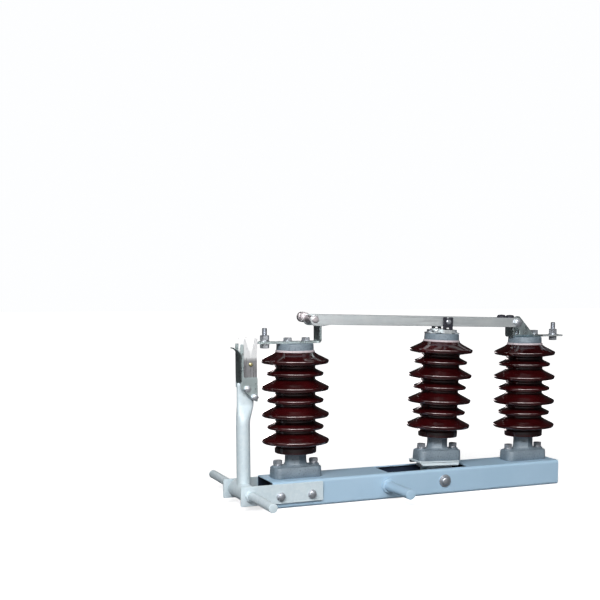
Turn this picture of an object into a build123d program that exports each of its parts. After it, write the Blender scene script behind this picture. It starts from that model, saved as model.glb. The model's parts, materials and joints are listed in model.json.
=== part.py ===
from build123d import *
import math
import os

os.makedirs("parts", exist_ok=True)

# Row frame in millimetres: X runs along the base with the terminal contact at -X,
# the front is -Y, and Z = 0 is the underside of the base channel.

# Base channel
channel_length = 753.0
channel_width = 106.0
channel_height = 61.0
channel_wall = 4.0
channel_bend = 7.0
channel_lip = 24.0
slot_left = -90.0
slot_right = 125.0
slot_half_width = 43.0
tie_left = -30.0
tie_right = 10.0
mounting_hole_radius = 7.0
mounting_hole_x = 330.0
mounting_hole_y = 0.5 * channel_width - 14.0

# Post insulators
post_x = 303.5
large_shed_radius = 76.5
small_shed_radius = 64.5
core_radius = 45.2
shed_pitch = 60.2
lowest_shed_height = 83.5
small_shed_rise = 1.5
collar_radius = 47.5
collar_height = 55.5
post_height = 303.0
cap_radius = 42.0
cap_height = 17.0
neck_radius = 24.5
foot_length = 114.0
foot_depth = 56.0
foot_height = 25.0
foot_bolt_x = 43.0
foot_bolt_radius = 6.0
right_neck_extra = 5.0
middle_neck_extra = 1.5

# Main blade
hinge_x = 267.0
hinge_z = 404.8
blade_end_x = -275.0
blade_slope = 0.024
blade_height = 23.0
blade_thickness = 4.5
blade_gap = 40.0
pin_radius = 6.0
running_clearance = 0.05
hole_clearance = 0.5

# Lifting insulator and drive
link_x = 70.5
link_z = 409.0
crank_pin_x = 56.0
crank_pin_z = 20.0
saddle_height = 56.0
saddle_thickness = 4.0
shaft_x = -94.7
shaft_z = 32.0
shaft_radius = 12.0
shaft_stub_radius = 11.5
shaft_front_y = -172.0

# Earthing blade
earth_x = -428.0
earth_z = 36.0
earth_shaft_radius = 10.5
earth_stub_radius = 10.0
earth_front_y = -205.0
earth_rear_y = 240.0
earth_hub_radius = 20.0
earth_tube_radius = 15.5
plate_left_x = -451.0
plate_rear_left_x = -457.0
plate_right_x = -259.0
plate_bottom_z = 12.5
plate_top_z = 56.0
plate_thickness = 5.0
fork_bolt_places = ((-404.8, 247.8), (-421.6, 266.6))
finger_inner = 15.3
finger_thickness = 2.0
leg_thickness = 2.2


def block(x_low, x_high, y_low, y_high, z_low, z_high):
    size = (x_high - x_low, y_high - y_low, z_high - z_low)
    centre = (0.5 * (x_low + x_high), 0.5 * (y_low + y_high), 0.5 * (z_low + z_high))
    return Pos(*centre) * Box(*size)


def rod_z(x, y, z_low, z_high, radius):
    return Pos(x, y, 0.5 * (z_low + z_high)) * Cylinder(radius, z_high - z_low)


def rod_y(x, z, y_low, y_high, radius):
    place = Pos(x, 0.5 * (y_low + y_high), z) * Rot(90, 0, 0)
    return place * Cylinder(radius, y_high - y_low)


def hexagon_z(x, y, z_low, z_high, across_flats):
    section = Pos(x, y, z_low) * RegularPolygon(0.5 * across_flats, 6, major_radius=False)
    return extrude(section, z_high - z_low)


def hexagon_y(x, z, y_low, y_high, across_flats):
    section = Pos(x, y_high, z) * Rot(90, 0, 0)
    section = section * RegularPolygon(0.5 * across_flats, 6, major_radius=False)
    return extrude(section, y_high - y_low)


def side_plate(points, y_low, y_high):
    # A plate cut to an outline in X and Z, standing between two Y levels.
    face = make_face(Polyline(*[(x, 0, z) for x, z in points], close=True))
    body = extrude(face, y_high - y_low, dir=(0, 1, 0))
    return Pos(0, y_low, 0) * body


def end_plate(points, x_low, x_high):
    # A body with an outline in Y and Z, running between two X positions.
    face = make_face(Polyline(*[(x_low, y, z) for y, z in points], close=True))
    return extrude(face, x_high - x_low, dir=(1, 0, 0))


def turned(points):
    # A body of revolution about Z from an outline of radius and height.
    face = make_face(Polyline(*[(r, 0, z) for r, z in points], close=True))
    return revolve(face, Axis.Z)


def on_side(side, near, far):
    # The two Y levels of a layer that lies between near and far on one side of the middle.
    return (near, far) if side > 0 else (-far, -near)


def save(name, shape, move=None):
    if move is not None:
        shape = move * shape
    export_step(shape, "parts/" + name + ".step")


# Base channel: an inverted pressed channel with inward lips and a slot in its top.
half_length = 0.5 * channel_length
half_width = 0.5 * channel_width
inner = half_width - channel_wall
ceiling = channel_height - channel_wall
outside = block(-half_length, half_length, -half_width, half_width, 0, channel_height)
top_edges = outside.edges().filter_by(Axis.X).group_by(Axis.Z)[-1]
outside = fillet(top_edges, channel_bend)
inside = block(-half_length - 1, half_length + 1, -inner, inner, channel_wall, ceiling)
inside_edges = inside.edges().filter_by(Axis.X).group_by(Axis.Z)[-1]
inside = fillet(inside_edges, channel_bend - channel_wall)
mouth = half_width - channel_lip
channel = outside - inside
channel -= block(-half_length - 1, half_length + 1, -mouth, mouth, -1, channel_wall + 1)
channel += block(tie_left, tie_right, -mouth - 1, mouth + 1, 0, channel_wall)
channel -= block(slot_left, slot_right, -slot_half_width, slot_half_width, ceiling - 1, channel_height + 1)
for x in (-mounting_hole_x, mounting_hole_x):
    for y in (-mounting_hole_y, mounting_hole_y):
        channel -= rod_z(x, y, -1, channel_wall + 1, mounting_hole_radius)
foot_bolt_hole = foot_bolt_radius + hole_clearance
for x in (-post_x - foot_bolt_x, -post_x + foot_bolt_x, post_x - foot_bolt_x, post_x + foot_bolt_x):
    channel -= rod_z(x, 0, ceiling - 1, channel_height + 1, foot_bolt_hole)
channel -= rod_y(shaft_x, shaft_z, -half_width - 1, half_width + 1, shaft_radius + 2.0)
stop_x = 53.8
stop_z = 32.4
stop_shank = 6.0
channel -= rod_y(stop_x, stop_z, -half_width - 1, -inner + 1, stop_shank + hole_clearance)
plate_bolt_places = ((-359.5, 28.5), (-286.0, 29.0))
plate_shank = 5.0
for x, z in plate_bolt_places:
    channel -= rod_y(x, z, -half_width - 1, half_width + 1, plate_shank + hole_clearance)
save("base_channel", channel)


# Post insulators, drawn about Z with the foot at Z = 0.
def large_shed(tip):
    # Outline of one large shed from its root below to its root above.
    rim = large_shed_radius
    points = [(core_radius, tip - 10.5), (rim - 3.5, tip - 5.6), (rim - 0.8, tip - 3.6)]
    points += [(rim, tip - 1.6), (rim, tip + 0.2), (rim - 2.4, tip + 3.4)]
    return points + [(core_radius + 6, tip + 14.2), (core_radius, tip + 18.5)]


def small_shed(tip):
    rim = small_shed_radius
    points = [(core_radius, tip - 7.0), (rim - 3.5, tip - 4.2), (rim - 0.8, tip - 2.8)]
    points += [(rim, tip - 1.2), (rim, tip + 0.2), (rim - 2.2, tip + 3.2)]
    return points + [(core_radius + 4, tip + 8.6), (core_radius, tip + 11.5)]


def shed_profile(extra):
    # Outline of the porcelain from the bottom collar to under the cap.
    points = [(0, collar_height), (collar_radius - 2, collar_height)]
    points += [(collar_radius, collar_height + 2), (collar_radius, collar_height + 13)]
    points.append((core_radius, collar_height + 16.5))
    for index in range(7):
        tip = lowest_shed_height + 0.5 * shed_pitch * index
        if index % 2 == 0:
            points += large_shed(tip)
        else:
            points += small_shed(tip + small_shed_rise)
    points.append((core_radius - 3, post_height - cap_height))
    points.append((0, post_height - cap_height))
    return [(r, z + extra) for r, z in points]


def porcelain(extra):
    return turned(shed_profile(extra))


def upper_cap(extra):
    low = post_height - cap_height + extra
    high = post_height + extra
    outline = [(0, low), (cap_radius - 1.5, low), (cap_radius, low + 1.5)]
    outline += [(cap_radius, high - 1.5), (cap_radius - 1.5, high), (0, high)]
    return turned(outline)


def foot(extra):
    body = block(-0.5 * foot_length, 0.5 * foot_length, -0.5 * foot_depth, 0.5 * foot_depth, 0, foot_height)
    body = fillet(body.edges().filter_by(Axis.Z), 16)
    for x in (-foot_bolt_x, foot_bolt_x):
        body += rod_z(x, 0, 0, foot_height + 3, 13)
    body += rod_z(0, 0, 0, collar_height + extra, neck_radius)
    for x in (-foot_bolt_x, foot_bolt_x):
        body -= rod_z(x, 0, -1, foot_height + 4, foot_bolt_hole)
    return body


def foot_bolts(wall):
    # Each bolt has a head, a spring washer, a shank through the wall and a nut below it.
    seat = foot_height + 3
    group = []
    for x in (-foot_bolt_x, foot_bolt_x):
        bolt = rod_z(x, 0, -wall - 12, seat + 1, foot_bolt_radius)
        bolt += rod_z(x, 0, seat, seat + 3.5, 10)
        bolt += hexagon_z(x, 0, seat + 3.5, seat + 12, 19)
        bolt += hexagon_z(x, 0, -wall - 9, -wall, 19)
        group.append(bolt)
    return Compound(children=group)


# The lifting insulator leans towards the hinge by the angle from its crank pin to its link pin.
lean = math.degrees(math.atan2(link_x - crank_pin_x, link_z - crank_pin_z))
link_length = math.hypot(link_x - crank_pin_x, link_z - crank_pin_z)
lifting = Pos(crank_pin_x, 0, crank_pin_z) * Rot(0, lean, 0)
posts = {
    "left": (0.0, Pos(-post_x, 0, channel_height)),
    "right": (right_neck_extra, Pos(post_x, 0, channel_height)),
    "middle": (middle_neck_extra, lifting * Pos(0, 0, saddle_height)),
}
for side, (extra, place) in posts.items():
    save(side + "_insulator", porcelain(extra), place)
    save(side + "_cap", upper_cap(extra), place)
    save(side + "_foot", foot(extra), place)
    save(side + "_foot_bolts", foot_bolts(channel_wall), place)

# Left terminal contact: a flat bar bent up into the upright that the blade embraces.
left_top = channel_height + post_height
bar_half = 15.0
bar_thickness = 5.0
left_stud_x = -375.0
upright_x = -246.5
upright_half = 0.5 * blade_gap - 0.3
stud_radius = 6.0
stud_hole = stud_radius + 0.2
contact = block(upright_x - bar_thickness, upright_x, -upright_half, upright_half, left_top, 424)
contact += block(-390, upright_x, -bar_half, bar_half, left_top, left_top + bar_thickness)
contact -= rod_z(left_stud_x, 0, left_top - 1, left_top + 6, stud_hole)
save("left_contact_bar", contact)

cap_bolts = []
for x in (-post_x - 17.7, -post_x + 25.5):
    cap_bolts.append(hexagon_z(x, 0, left_top + bar_thickness, left_top + bar_thickness + 8, 17))
save("left_contact_bolts", Compound(children=cap_bolts))


def terminal_stud(x, level, thickness):
    # A bolt with its head under the bar at this level and a nut on top.
    upper = level + thickness
    body = rod_z(x, 0, level - 8, level + 35, stud_radius)
    body += hexagon_z(x, 0, level - 10, level, 19)
    body += rod_z(x, 0, upper, upper + 2.5, 12)
    body += hexagon_z(x, 0, upper + 2.5, upper + 14, 19)
    return body


save("left_terminal_stud", terminal_stud(left_stud_x, left_top, bar_thickness))

# Hinge bracket: two lugs on a base plate, bolted to the right cap.
right_top = channel_height + post_height + right_neck_extra
lug_left = 257.0
lug_outline = [(lug_left, right_top), (lug_left, 409), (261, 417), (268, 421), (276, 420)]
lug_outline += [(307, 386), (316, 377), (316, right_top)]
lug_outer = 0.5 * blade_gap - 1.0
lug_thickness = 4.5
plate_end = 346.0
base_thickness = 5.0
bracket = block(lug_left, plate_end, -lug_outer, lug_outer, right_top, right_top + base_thickness)
for side in (-1, 1):
    low, high = on_side(side, lug_outer - lug_thickness, lug_outer)
    lug = side_plate(lug_outline, low, high)
    window = [(262.5, 376), (275.5, 376), (275.5, 386), (270, 392.5), (262.5, 392.5)]
    lug -= side_plate(window, low - 1, high + 1)
    bracket += lug
# A web closes the bracket towards the blade, below it.
web_top = 394.0
bracket += block(lug_left, lug_left + 4, -lug_outer, lug_outer, right_top, web_top)
bracket -= rod_y(hinge_x, hinge_z, -30, 30, pin_radius)
save("hinge_bracket", bracket)

right_stud_x = 386.0
right_bar_thickness = 4.0
right_bar = block(plate_end, 408, -bar_half, bar_half, right_top, right_top + right_bar_thickness)
right_bar -= rod_z(right_stud_x, 0, right_top - 1, right_top + 6, stud_hole)
save("right_terminal_bar", right_bar)
save("right_terminal_stud", terminal_stud(right_stud_x, right_top, right_bar_thickness))
bracket_bolts = []
bolt_seat = right_top + base_thickness
for x in (279.0, 330.0):
    bolt = rod_z(x, 0, bolt_seat, bolt_seat + 2.5, 10.5)
    bolt += hexagon_z(x, 0, bolt_seat + 2.5, bolt_seat + 11, 19)
    bracket_bolts.append(bolt)
save("hinge_bracket_bolts", Compound(children=bracket_bolts))

bar_inner = 0.5 * blade_gap
bar_outer = bar_inner + blade_thickness
hinge_pin = rod_y(hinge_x, hinge_z, -bar_outer - 2, bar_outer + 2, pin_radius)
for side in (-1, 1):
    low, high = on_side(side, bar_outer + 1, bar_outer + 7)
    hinge_pin += hexagon_y(hinge_x, hinge_z, low, high, 17)
save("hinge_pin", hinge_pin)


# Main blade: two flat bars with round ends, drawn along their centre line from the hinge.
def blade_z(x):
    return hinge_z + blade_slope * (hinge_x - x)


def blade_bar(side):
    half = 0.5 * blade_height
    tip_drop = 3.0
    tip_radius = half + 0.5 * tip_drop
    tip_x = blade_end_x + tip_radius
    low, high = on_side(side, bar_inner, bar_outer)
    corners = [(tip_x, -half - tip_drop), (tip_x, half), (hinge_x, half), (hinge_x, -half)]
    corners += [(-229, -half), (-243, -half - tip_drop)]
    outline = [(x, blade_z(x) + z) for x, z in corners]
    bar = side_plate(outline, low, high)
    bar += rod_y(tip_x, blade_z(tip_x) - 0.5 * tip_drop, low, high, tip_radius)
    bar += rod_y(hinge_x, hinge_z, low, high, half)
    for x, z in ((hinge_x, hinge_z), (link_x, link_z)):
        bar -= rod_y(x, z, low - 1, high + 1, pin_radius + running_clearance)
    return bar


save("blade_front_bar", blade_bar(-1))
save("blade_rear_bar", blade_bar(1))
housing_x = -268.0
housing_z = blade_z(housing_x) + 3.5
housing_radius = 12.0
spring_housing = rod_y(housing_x, housing_z, bar_outer, bar_outer + 30, housing_radius)
spring_housing += rod_y(housing_x, housing_z, bar_outer + 30, bar_outer + 36, 0.8 * housing_radius)
save("blade_spring_housing", spring_housing)
# A thick spacer between the bars, with a low head on the front bar.
spacer_x = -266.0
tip_spacer = rod_y(spacer_x, blade_z(spacer_x), -bar_inner, bar_inner, 9.5)
tip_head = rod_y(spacer_x + 2, blade_z(spacer_x), -bar_outer - 3, -bar_outer, 8)
save("blade_tip_spacer", Compound(children=[tip_spacer, tip_head]))
# A spacer block near the hinge, narrower where it enters between the lugs.
spacer_low = blade_z(244) - 7
spacer_high = blade_z(244) + 11.5
spacer_step = 247.0
spacer = block(224, spacer_step, -bar_inner, bar_inner, spacer_low, spacer_high)
spacer += block(spacer_step, 259.5, -13.5, 13.5, spacer_low, spacer_high - 1)
save("blade_spacer_block", spacer)
clamp_bolts = []
for x in (234.5, 259.0):
    seat = spacer_high if x < spacer_step else spacer_high - 1
    dome = turned([(0, seat), (11, seat), (11, seat + 3), (8, seat + 7), (0, seat + 7.5)])
    clamp_bolts.append(Pos(x, 0, 0) * dome)
save("blade_clamp_bolts", Compound(children=clamp_bolts))

# Link on the middle cap, in the lifting insulator's own frame with the crank pin at Z = 0.
cap_top = saddle_height + post_height + middle_neck_extra
flange_top = cap_top + 3.0
lug_top = cap_top + 11.5
tab_top = link_length - 19.0
ear_outer = 32.0
ear_inner = 26.0
ear_half = 12.0
lug_profile = [(-26, cap_top), (-26, lug_top - 5), (-21, lug_top)]
lug_profile += [(21, lug_top), (26, lug_top - 5), (26, cap_top)]
lug_plate = block(-41, 41, -18.5, 18.5, cap_top, flange_top)
lug_plate += side_plate(lug_profile, -18.5, 18.5)
lug_plate += block(-ear_half, ear_half, -ear_outer, ear_outer, cap_top, tab_top)
save("middle_lug_plate", lug_plate, lifting)
lug_bolts = []
for x in (-33.5, 33.5):
    lug_bolts.append(hexagon_z(x, 0, flange_top, flange_top + 6.5, 13))
save("middle_lug_bolts", Compound(children=lug_bolts), lifting)
ears = []
for side in (-1, 1):
    low, high = on_side(side, ear_inner, ear_outer)
    ear = block(-ear_half, ear_half, low, high, tab_top, link_length + 11)
    ear -= block(-4.5, 4.5, low - 1, high + 1, link_length + 8, link_length + 12)
    ear -= block(-4.5, 4.5, low - 1, high + 1, tab_top - 1, link_length - 14)
    ear -= rod_y(0, link_length, low - 1, high + 1, pin_radius)
    ears.append(ear)
save("link_yoke", Compound(children=ears), lifting)
link_pin = rod_y(0, link_length, -ear_outer - 1, ear_outer + 1, pin_radius)
for side in (-1, 1):
    low, high = on_side(side, ear_outer, ear_outer + 3.5)
    link_pin += rod_y(0, link_length, low, high, 6.6)
save("link_pin", link_pin, lifting)

# Saddle under the middle foot: sloping flanks over the channel's edges, and two slotted ears.
saddle_left = -60.0
saddle_right = 47.0
saddle_flat = 30.0
saddle_edge = 38.0
flank_drop = 8.5
under = saddle_height - saddle_thickness
saddle = block(saddle_left, saddle_right, -saddle_flat, saddle_flat, under, saddle_height)
pin_slot_half = 15.0
pin_slot_radius = 9.5
for side in (-1, 1):
    flank = [(side * saddle_flat, saddle_height), (side * saddle_edge, saddle_height - flank_drop)]
    flank += [(side * saddle_edge, under - flank_drop), (side * saddle_flat, under)]
    plate = end_plate(flank, saddle_left, saddle_right)
    taper = [(saddle_left, side * saddle_flat), (saddle_right, side * saddle_flat)]
    taper += [(saddle_right - 6, side * saddle_edge), (saddle_left + 6, side * saddle_edge)]
    taper_face = make_face(Polyline(*[(x, y, 30) for x, y in taper], close=True))
    saddle += plate & extrude(taper_face, 40, dir=(0, 0, 1))
    low, high = on_side(side, 16, 22)
    ear = block(-32, 32, low, high, -17, under)
    slot = block(-pin_slot_half, pin_slot_half, low - 1, high + 1, -pin_slot_radius, pin_slot_radius)
    for x in (-pin_slot_half, pin_slot_half):
        slot += rod_y(x, 0, low - 1, high + 1, pin_slot_radius)
    saddle += ear - slot
for x in (-foot_bolt_x, foot_bolt_x):
    saddle -= rod_z(x, 0, under - 1, saddle_height + 1, foot_bolt_hole)
save("saddle_plate", saddle, lifting)

# Drive shaft with a thinner stub at the front, its bearing collars and the lifting cranks.
bearing_width = 6.5
bearing_face = half_width + bearing_width
drive_shaft = rod_y(shaft_x, shaft_z, -bearing_face, bearing_face + 5, shaft_radius)
drive_shaft += rod_y(shaft_x, shaft_z, shaft_front_y, -bearing_face, shaft_stub_radius)
save("drive_shaft", drive_shaft)
collars = []
for side in (-1, 1):
    low, high = on_side(side, half_width, bearing_face)
    ring = rod_y(shaft_x, shaft_z, low, high, 17)
    ring -= rod_y(shaft_x, shaft_z, low - 1, high + 1, shaft_radius + running_clearance)
    collars.append(ring)
save("drive_shaft_bearings", Compound(children=collars))
cranks = []
crank_length = math.hypot(crank_pin_x - shaft_x, crank_pin_z - shaft_z)
crank_angle = math.degrees(math.atan2(crank_pin_z - shaft_z, crank_pin_x - shaft_x))
for side in (-1, 1):
    low, high = on_side(side, 28, 34)
    arm = block(0, crank_length, low, high, -9, 9)
    arm += rod_y(0, 0, low, high, 19)
    arm += rod_y(crank_length, 0, low, high, 11)
    arm -= rod_y(0, 0, low - 1, high + 1, shaft_radius)
    arm -= rod_y(crank_length, 0, low - 1, high + 1, pin_radius)
    cranks.append(arm)
crank_place = Pos(shaft_x, 0, shaft_z) * Rot(0, -crank_angle, 0)
save("lifting_cranks", Compound(children=cranks), crank_place)
save("crank_pin", rod_y(crank_pin_x, crank_pin_z, -37, 37, pin_radius))

# Stop bolt on the channel's front: domed head, washer, shank and an inner nut.
stop_bolt = rod_y(stop_x, stop_z, -half_width - 2.5, -half_width, 15)
stop_bolt += rod_y(stop_x, stop_z, -half_width - 9, -half_width - 2.5, 10.5)
stop_bolt += rod_y(stop_x, stop_z, -half_width, -inner + 12, stop_shank)
stop_bolt += hexagon_y(stop_x, stop_z, -inner, -inner + 8, 19)
save("stop_bolt", stop_bolt)

# Earthing switch: two bracket plates beside the channel carry a cross shaft.
plate_outer = half_width + plate_thickness
for name, side in (("earth_front_bracket", -1), ("earth_rear_bracket", 1)):
    low, high = on_side(side, half_width, plate_outer)
    left = plate_left_x if side < 0 else plate_rear_left_x
    plate_corners = [(left, plate_bottom_z), (left, plate_top_z)]
    plate_corners += [(plate_right_x, plate_top_z), (plate_right_x, plate_bottom_z)]
    plate = side_plate(plate_corners, low, high)
    plate -= rod_y(earth_x, earth_z, low - 1, high + 1, earth_shaft_radius + running_clearance)
    for x, z in plate_bolt_places:
        plate -= rod_y(x, z, low - 1, high + 1, plate_shank + hole_clearance)
    save(name, plate)
plate_bolts = []
for x, z in plate_bolt_places:
    for side in (-1, 1):
        low, high = on_side(side, plate_outer, plate_outer + 1.8)
        bolt = rod_y(x, z, low, high, 10)
        low, high = on_side(side, plate_outer + 1.8, plate_outer + 8)
        bolt += hexagon_y(x, z, low, high, 15)
        low, high = on_side(side, inner - 9, plate_outer)
        bolt += rod_y(x, z, low, high, plate_shank)
        low, high = on_side(side, inner - 7, inner)
        bolt += hexagon_y(x, z, low, high, 15)
        plate_bolts.append(bolt)
save("earth_bracket_bolts", Compound(children=plate_bolts))

stub_root = plate_outer + 6.0
earth_shaft = rod_y(earth_x, earth_z, -stub_root, stub_root, earth_shaft_radius)
earth_shaft += rod_y(earth_x, earth_z, earth_front_y, -stub_root, earth_stub_radius)
earth_shaft += rod_y(earth_x, earth_z, stub_root, earth_rear_y, earth_stub_radius)
save("earth_shaft", earth_shaft)
shaft_collars = []
for side in (-1, 1):
    low, high = on_side(side, plate_outer + 1.0, stub_root)
    ring = rod_y(earth_x, earth_z, low, high, 14)
    ring -= rod_y(earth_x, earth_z, low - 1, high + 1, earth_shaft_radius)
    shaft_collars.append(ring)
save("earth_shaft_collars", Compound(children=shaft_collars))

# The tube stands on a hub, is pressed flat at its top and leans a little to the right there.
taper_start = 190.0
taper_end = 236.0
tube_top = 279.0
hub_half = half_width - 5.0
tube_x = earth_x + 1.5
flat_x = earth_x + 7.0
tube = rod_z(tube_x, 0, earth_z, taper_start, earth_tube_radius)
round_end = Pos(tube_x, 0, taper_start) * Circle(earth_tube_radius)
flat_end = Pos(flat_x, 0, taper_end) * Ellipse(19, 7)
tube += loft([round_end, flat_end])
tube += extrude(flat_end, tube_top - taper_end)
tube += rod_y(earth_x, earth_z, -hub_half, hub_half, earth_hub_radius)
tube -= rod_y(earth_x, earth_z, -hub_half - 1, hub_half + 1, earth_shaft_radius)
fork_bolt_radius = 4.0
for x, z in fork_bolt_places:
    tube -= rod_y(x, z, -20, 20, fork_bolt_radius + hole_clearance)
save("earth_blade_tube", tube)

# Fork clip: a web with a guide lip, and two legs that are narrow strips above and wide below.
fork_left = -436.5
fork_right = -398.0
web_thickness = 2.5
leg_inner = finger_inner + finger_thickness
leg_outer = leg_inner + leg_thickness
web_inner = fork_left + web_thickness
clip = block(fork_left, web_inner, -leg_outer, leg_outer, tube_top + 2, 345)
lip = [(fork_left, 344), (web_inner, 344), (-448.5, 357), (-450.5, 355)]
clip += side_plate(lip, -14, 14)
leg = [(fork_left, 269), (fork_right - 4, 238), (fork_right, 238), (fork_right, 292)]
leg += [(-429.5, 292), (-429.5, 365), (fork_left, 365)]
for side in (-1, 1):
    low, high = on_side(side, leg_inner, leg_outer)
    plate = side_plate(leg, low, high)
    for x, z in fork_bolt_places:
        plate -= rod_y(x, z, low - 1, high + 1, fork_bolt_radius + hole_clearance)
    clip += plate
save("earth_fork_clip", clip)

# Two spring fingers inside the clip, flared outwards at the top; a V is cut into the front one.
flare_start = 330.0
flare_top = 377.0
flare = 6.0
fingers = []
for side in (-1, 1):
    profile = [(finger_inner, 238), (leg_inner, 238), (leg_inner, flare_start)]
    profile += [(leg_inner + flare, flare_top), (finger_inner + flare, flare_top)]
    profile.append((finger_inner, flare_start))
    finger = end_plate([(side * y, z) for y, z in profile], -429.0, fork_right)
    if side < 0:
        finger -= side_plate([(-425, 378), (-413.6, 330), (-405, 378)], -40, 40)
    finger -= side_plate([(-430, 237), (-430, 262), (-402, 237)], -40, 40)
    for x, z in fork_bolt_places:
        finger -= rod_y(x, z, -30, 30, fork_bolt_radius + hole_clearance)
    fingers.append(finger)
save("earth_fork_fingers", Compound(children=fingers))

fork_bolts = []
for x, z in fork_bolt_places:
    bolt = rod_y(x, z, -leg_outer - 2, leg_outer + 2, fork_bolt_radius)
    for side in (-1, 1):
        low, high = on_side(side, leg_outer, leg_outer + 5.5)
        bolt += hexagon_y(x, z, low, high, 13)
        low, high = on_side(side, 7.0, finger_inner)
        bolt += rod_y(x, z, low, high, 7)
    fork_bolts.append(bolt)
for side in (-1, 1):
    low, high = on_side(side, leg_inner, leg_inner + 2.5)
    fork_bolts.append(rod_y(-412.5, 320, low, high, 4.5))
save("earth_fork_bolts", Compound(children=fork_bolts))
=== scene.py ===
import json
import math

import bmesh
import bpy
import numpy as np
from mathutils import Matrix, Vector
from mathutils.geometry import delaunay_2d_cdt

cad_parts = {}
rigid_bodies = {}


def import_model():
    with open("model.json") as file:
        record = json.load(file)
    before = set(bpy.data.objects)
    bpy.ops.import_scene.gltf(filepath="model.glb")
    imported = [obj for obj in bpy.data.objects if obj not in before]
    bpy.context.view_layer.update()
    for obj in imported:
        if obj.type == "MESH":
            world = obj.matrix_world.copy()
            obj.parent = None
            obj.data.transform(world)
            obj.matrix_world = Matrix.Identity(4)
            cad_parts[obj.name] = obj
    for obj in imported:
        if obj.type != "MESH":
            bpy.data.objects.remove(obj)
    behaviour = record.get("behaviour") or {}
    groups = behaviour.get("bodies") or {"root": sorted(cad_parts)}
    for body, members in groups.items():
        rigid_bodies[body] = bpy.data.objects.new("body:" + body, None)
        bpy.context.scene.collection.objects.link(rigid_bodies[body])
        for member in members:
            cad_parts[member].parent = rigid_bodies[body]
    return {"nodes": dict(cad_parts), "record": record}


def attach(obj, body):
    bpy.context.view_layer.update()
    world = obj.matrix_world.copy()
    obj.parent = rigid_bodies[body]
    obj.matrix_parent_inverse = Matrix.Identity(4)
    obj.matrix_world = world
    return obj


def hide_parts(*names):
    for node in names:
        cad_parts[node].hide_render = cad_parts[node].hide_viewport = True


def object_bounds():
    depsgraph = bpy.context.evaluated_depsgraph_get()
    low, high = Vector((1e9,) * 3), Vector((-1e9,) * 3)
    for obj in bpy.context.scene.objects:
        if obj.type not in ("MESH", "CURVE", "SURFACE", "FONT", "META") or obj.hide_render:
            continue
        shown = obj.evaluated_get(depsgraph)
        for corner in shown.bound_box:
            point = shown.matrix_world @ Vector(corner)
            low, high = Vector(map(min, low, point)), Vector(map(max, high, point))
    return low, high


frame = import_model()
nodes = frame["nodes"]
cadLow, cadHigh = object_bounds()
print("frame loaded:", len(nodes), "nodes")

# The picture shows the switch in its lower right part, hence the shift.
cameraPlace = {
    "azimuth": -26.437, "elevation": 6.656, "roll": 0.4286,
    "target": (-0.0036, 0.0, 0.20696), "distance": 2.6068,
    "lens": 65.57, "sensor": 36.0, "shiftX": -0.190, "shiftY": 0.1777,
}


def cameraBasis(place):
    # unit vectors of the camera: right, up and backwards, then turned by the roll about backwards
    a, e, r = (math.radians(place[key]) for key in ("azimuth", "elevation", "roll"))
    back = Vector((math.sin(a) * math.cos(e), -math.cos(a) * math.cos(e), math.sin(e)))
    right = Vector((math.cos(a), math.sin(a), 0.0))
    up = back.cross(right)
    return right * math.cos(r) + up * math.sin(r), up * math.cos(r) - right * math.sin(r), back


right, up, back = cameraBasis(cameraPlace)
cameraData = bpy.data.cameras.new("mainCamera")
camera = bpy.data.objects.new("mainCamera", cameraData)
bpy.context.scene.collection.objects.link(camera)
spot = Vector(cameraPlace["target"]) + back * cameraPlace["distance"]
camera.matrix_world = Matrix.Translation(spot) @ Matrix((right, up, back)).transposed().to_4x4()
cameraData.sensor_fit = "HORIZONTAL"
cameraData.sensor_width = cameraPlace["sensor"]
cameraData.lens = cameraPlace["lens"]
cameraData.shift_x = cameraPlace["shiftX"]
cameraData.shift_y = cameraPlace["shiftY"]
cameraData.clip_start, cameraData.clip_end = 0.05, 60.0
bpy.context.scene.camera = camera
print("camera placed")


def addNode(tree, kind, inputs=None, **settings):
    # an input is linked where it is another node's socket, and set where it is a value
    node = tree.nodes.new(kind)
    for key, value in settings.items():
        setattr(node, key, value)
    for key, value in (inputs or {}).items():
        if isinstance(value, bpy.types.NodeSocket):
            tree.links.new(value, node.inputs[key])
        else:
            node.inputs[key].default_value = value
    return node


def stretched(tree, scale, turn=(0.0, 0.0, 0.0)):
    # object coordinates, stretched along the axes
    place = addNode(tree, "ShaderNodeTexCoord").outputs["Object"]
    return addNode(tree, "ShaderNodeMapping",
                   {"Vector": place, "Scale": scale, "Rotation": turn}).outputs["Vector"]


def grain(tree, vector, scale, detail=3.0, roughness=0.55, distortion=0.0):
    node = addNode(tree, "ShaderNodeTexNoise", {
        "Vector": vector, "Scale": scale, "Detail": detail, "Roughness": roughness, "Distortion": distortion})
    return node.outputs["Fac"]


def spread(tree, value, low, high, toLow, toHigh):
    node = addNode(tree, "ShaderNodeMapRange", {
        "Value": value, "From Min": low, "From Max": high, "To Min": toLow, "To Max": toHigh})
    node.clamp = True
    return node.outputs["Result"]


def blendColours(tree, share, first, second, kind="MIX"):
    node = addNode(tree, "ShaderNodeMix", data_type="RGBA", blend_type=kind)
    pairs = (("Factor_Float", share), ("A_Color", first), ("B_Color", second))
    sockets = {s.identifier: s for s in node.inputs}
    for key, value in pairs:
        if isinstance(value, bpy.types.NodeSocket):
            tree.links.new(value, sockets[key])
        elif key == "Factor_Float":
            sockets[key].default_value = value
        else:
            sockets[key].default_value = (*value, 1.0)
    return {s.identifier: s for s in node.outputs}["Result_Color"]


def relief(tree, height, strength, distance, under=None):
    inputs = {"Height": height, "Strength": strength, "Distance": distance}
    if under is not None:
        inputs["Normal"] = under
    return addNode(tree, "ShaderNodeBump", inputs).outputs["Normal"]


def startFinish(name, metallic, **sockets):
    finish = bpy.data.materials.new(name)
    finish.use_nodes = True
    tree = finish.node_tree
    shader = tree.nodes["Principled BSDF"]
    shader.inputs["Metallic"].default_value = metallic
    for key, value in sockets.items():
        shader.inputs[key.replace("_", " ")].default_value = value
    return finish, tree, shader


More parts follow.
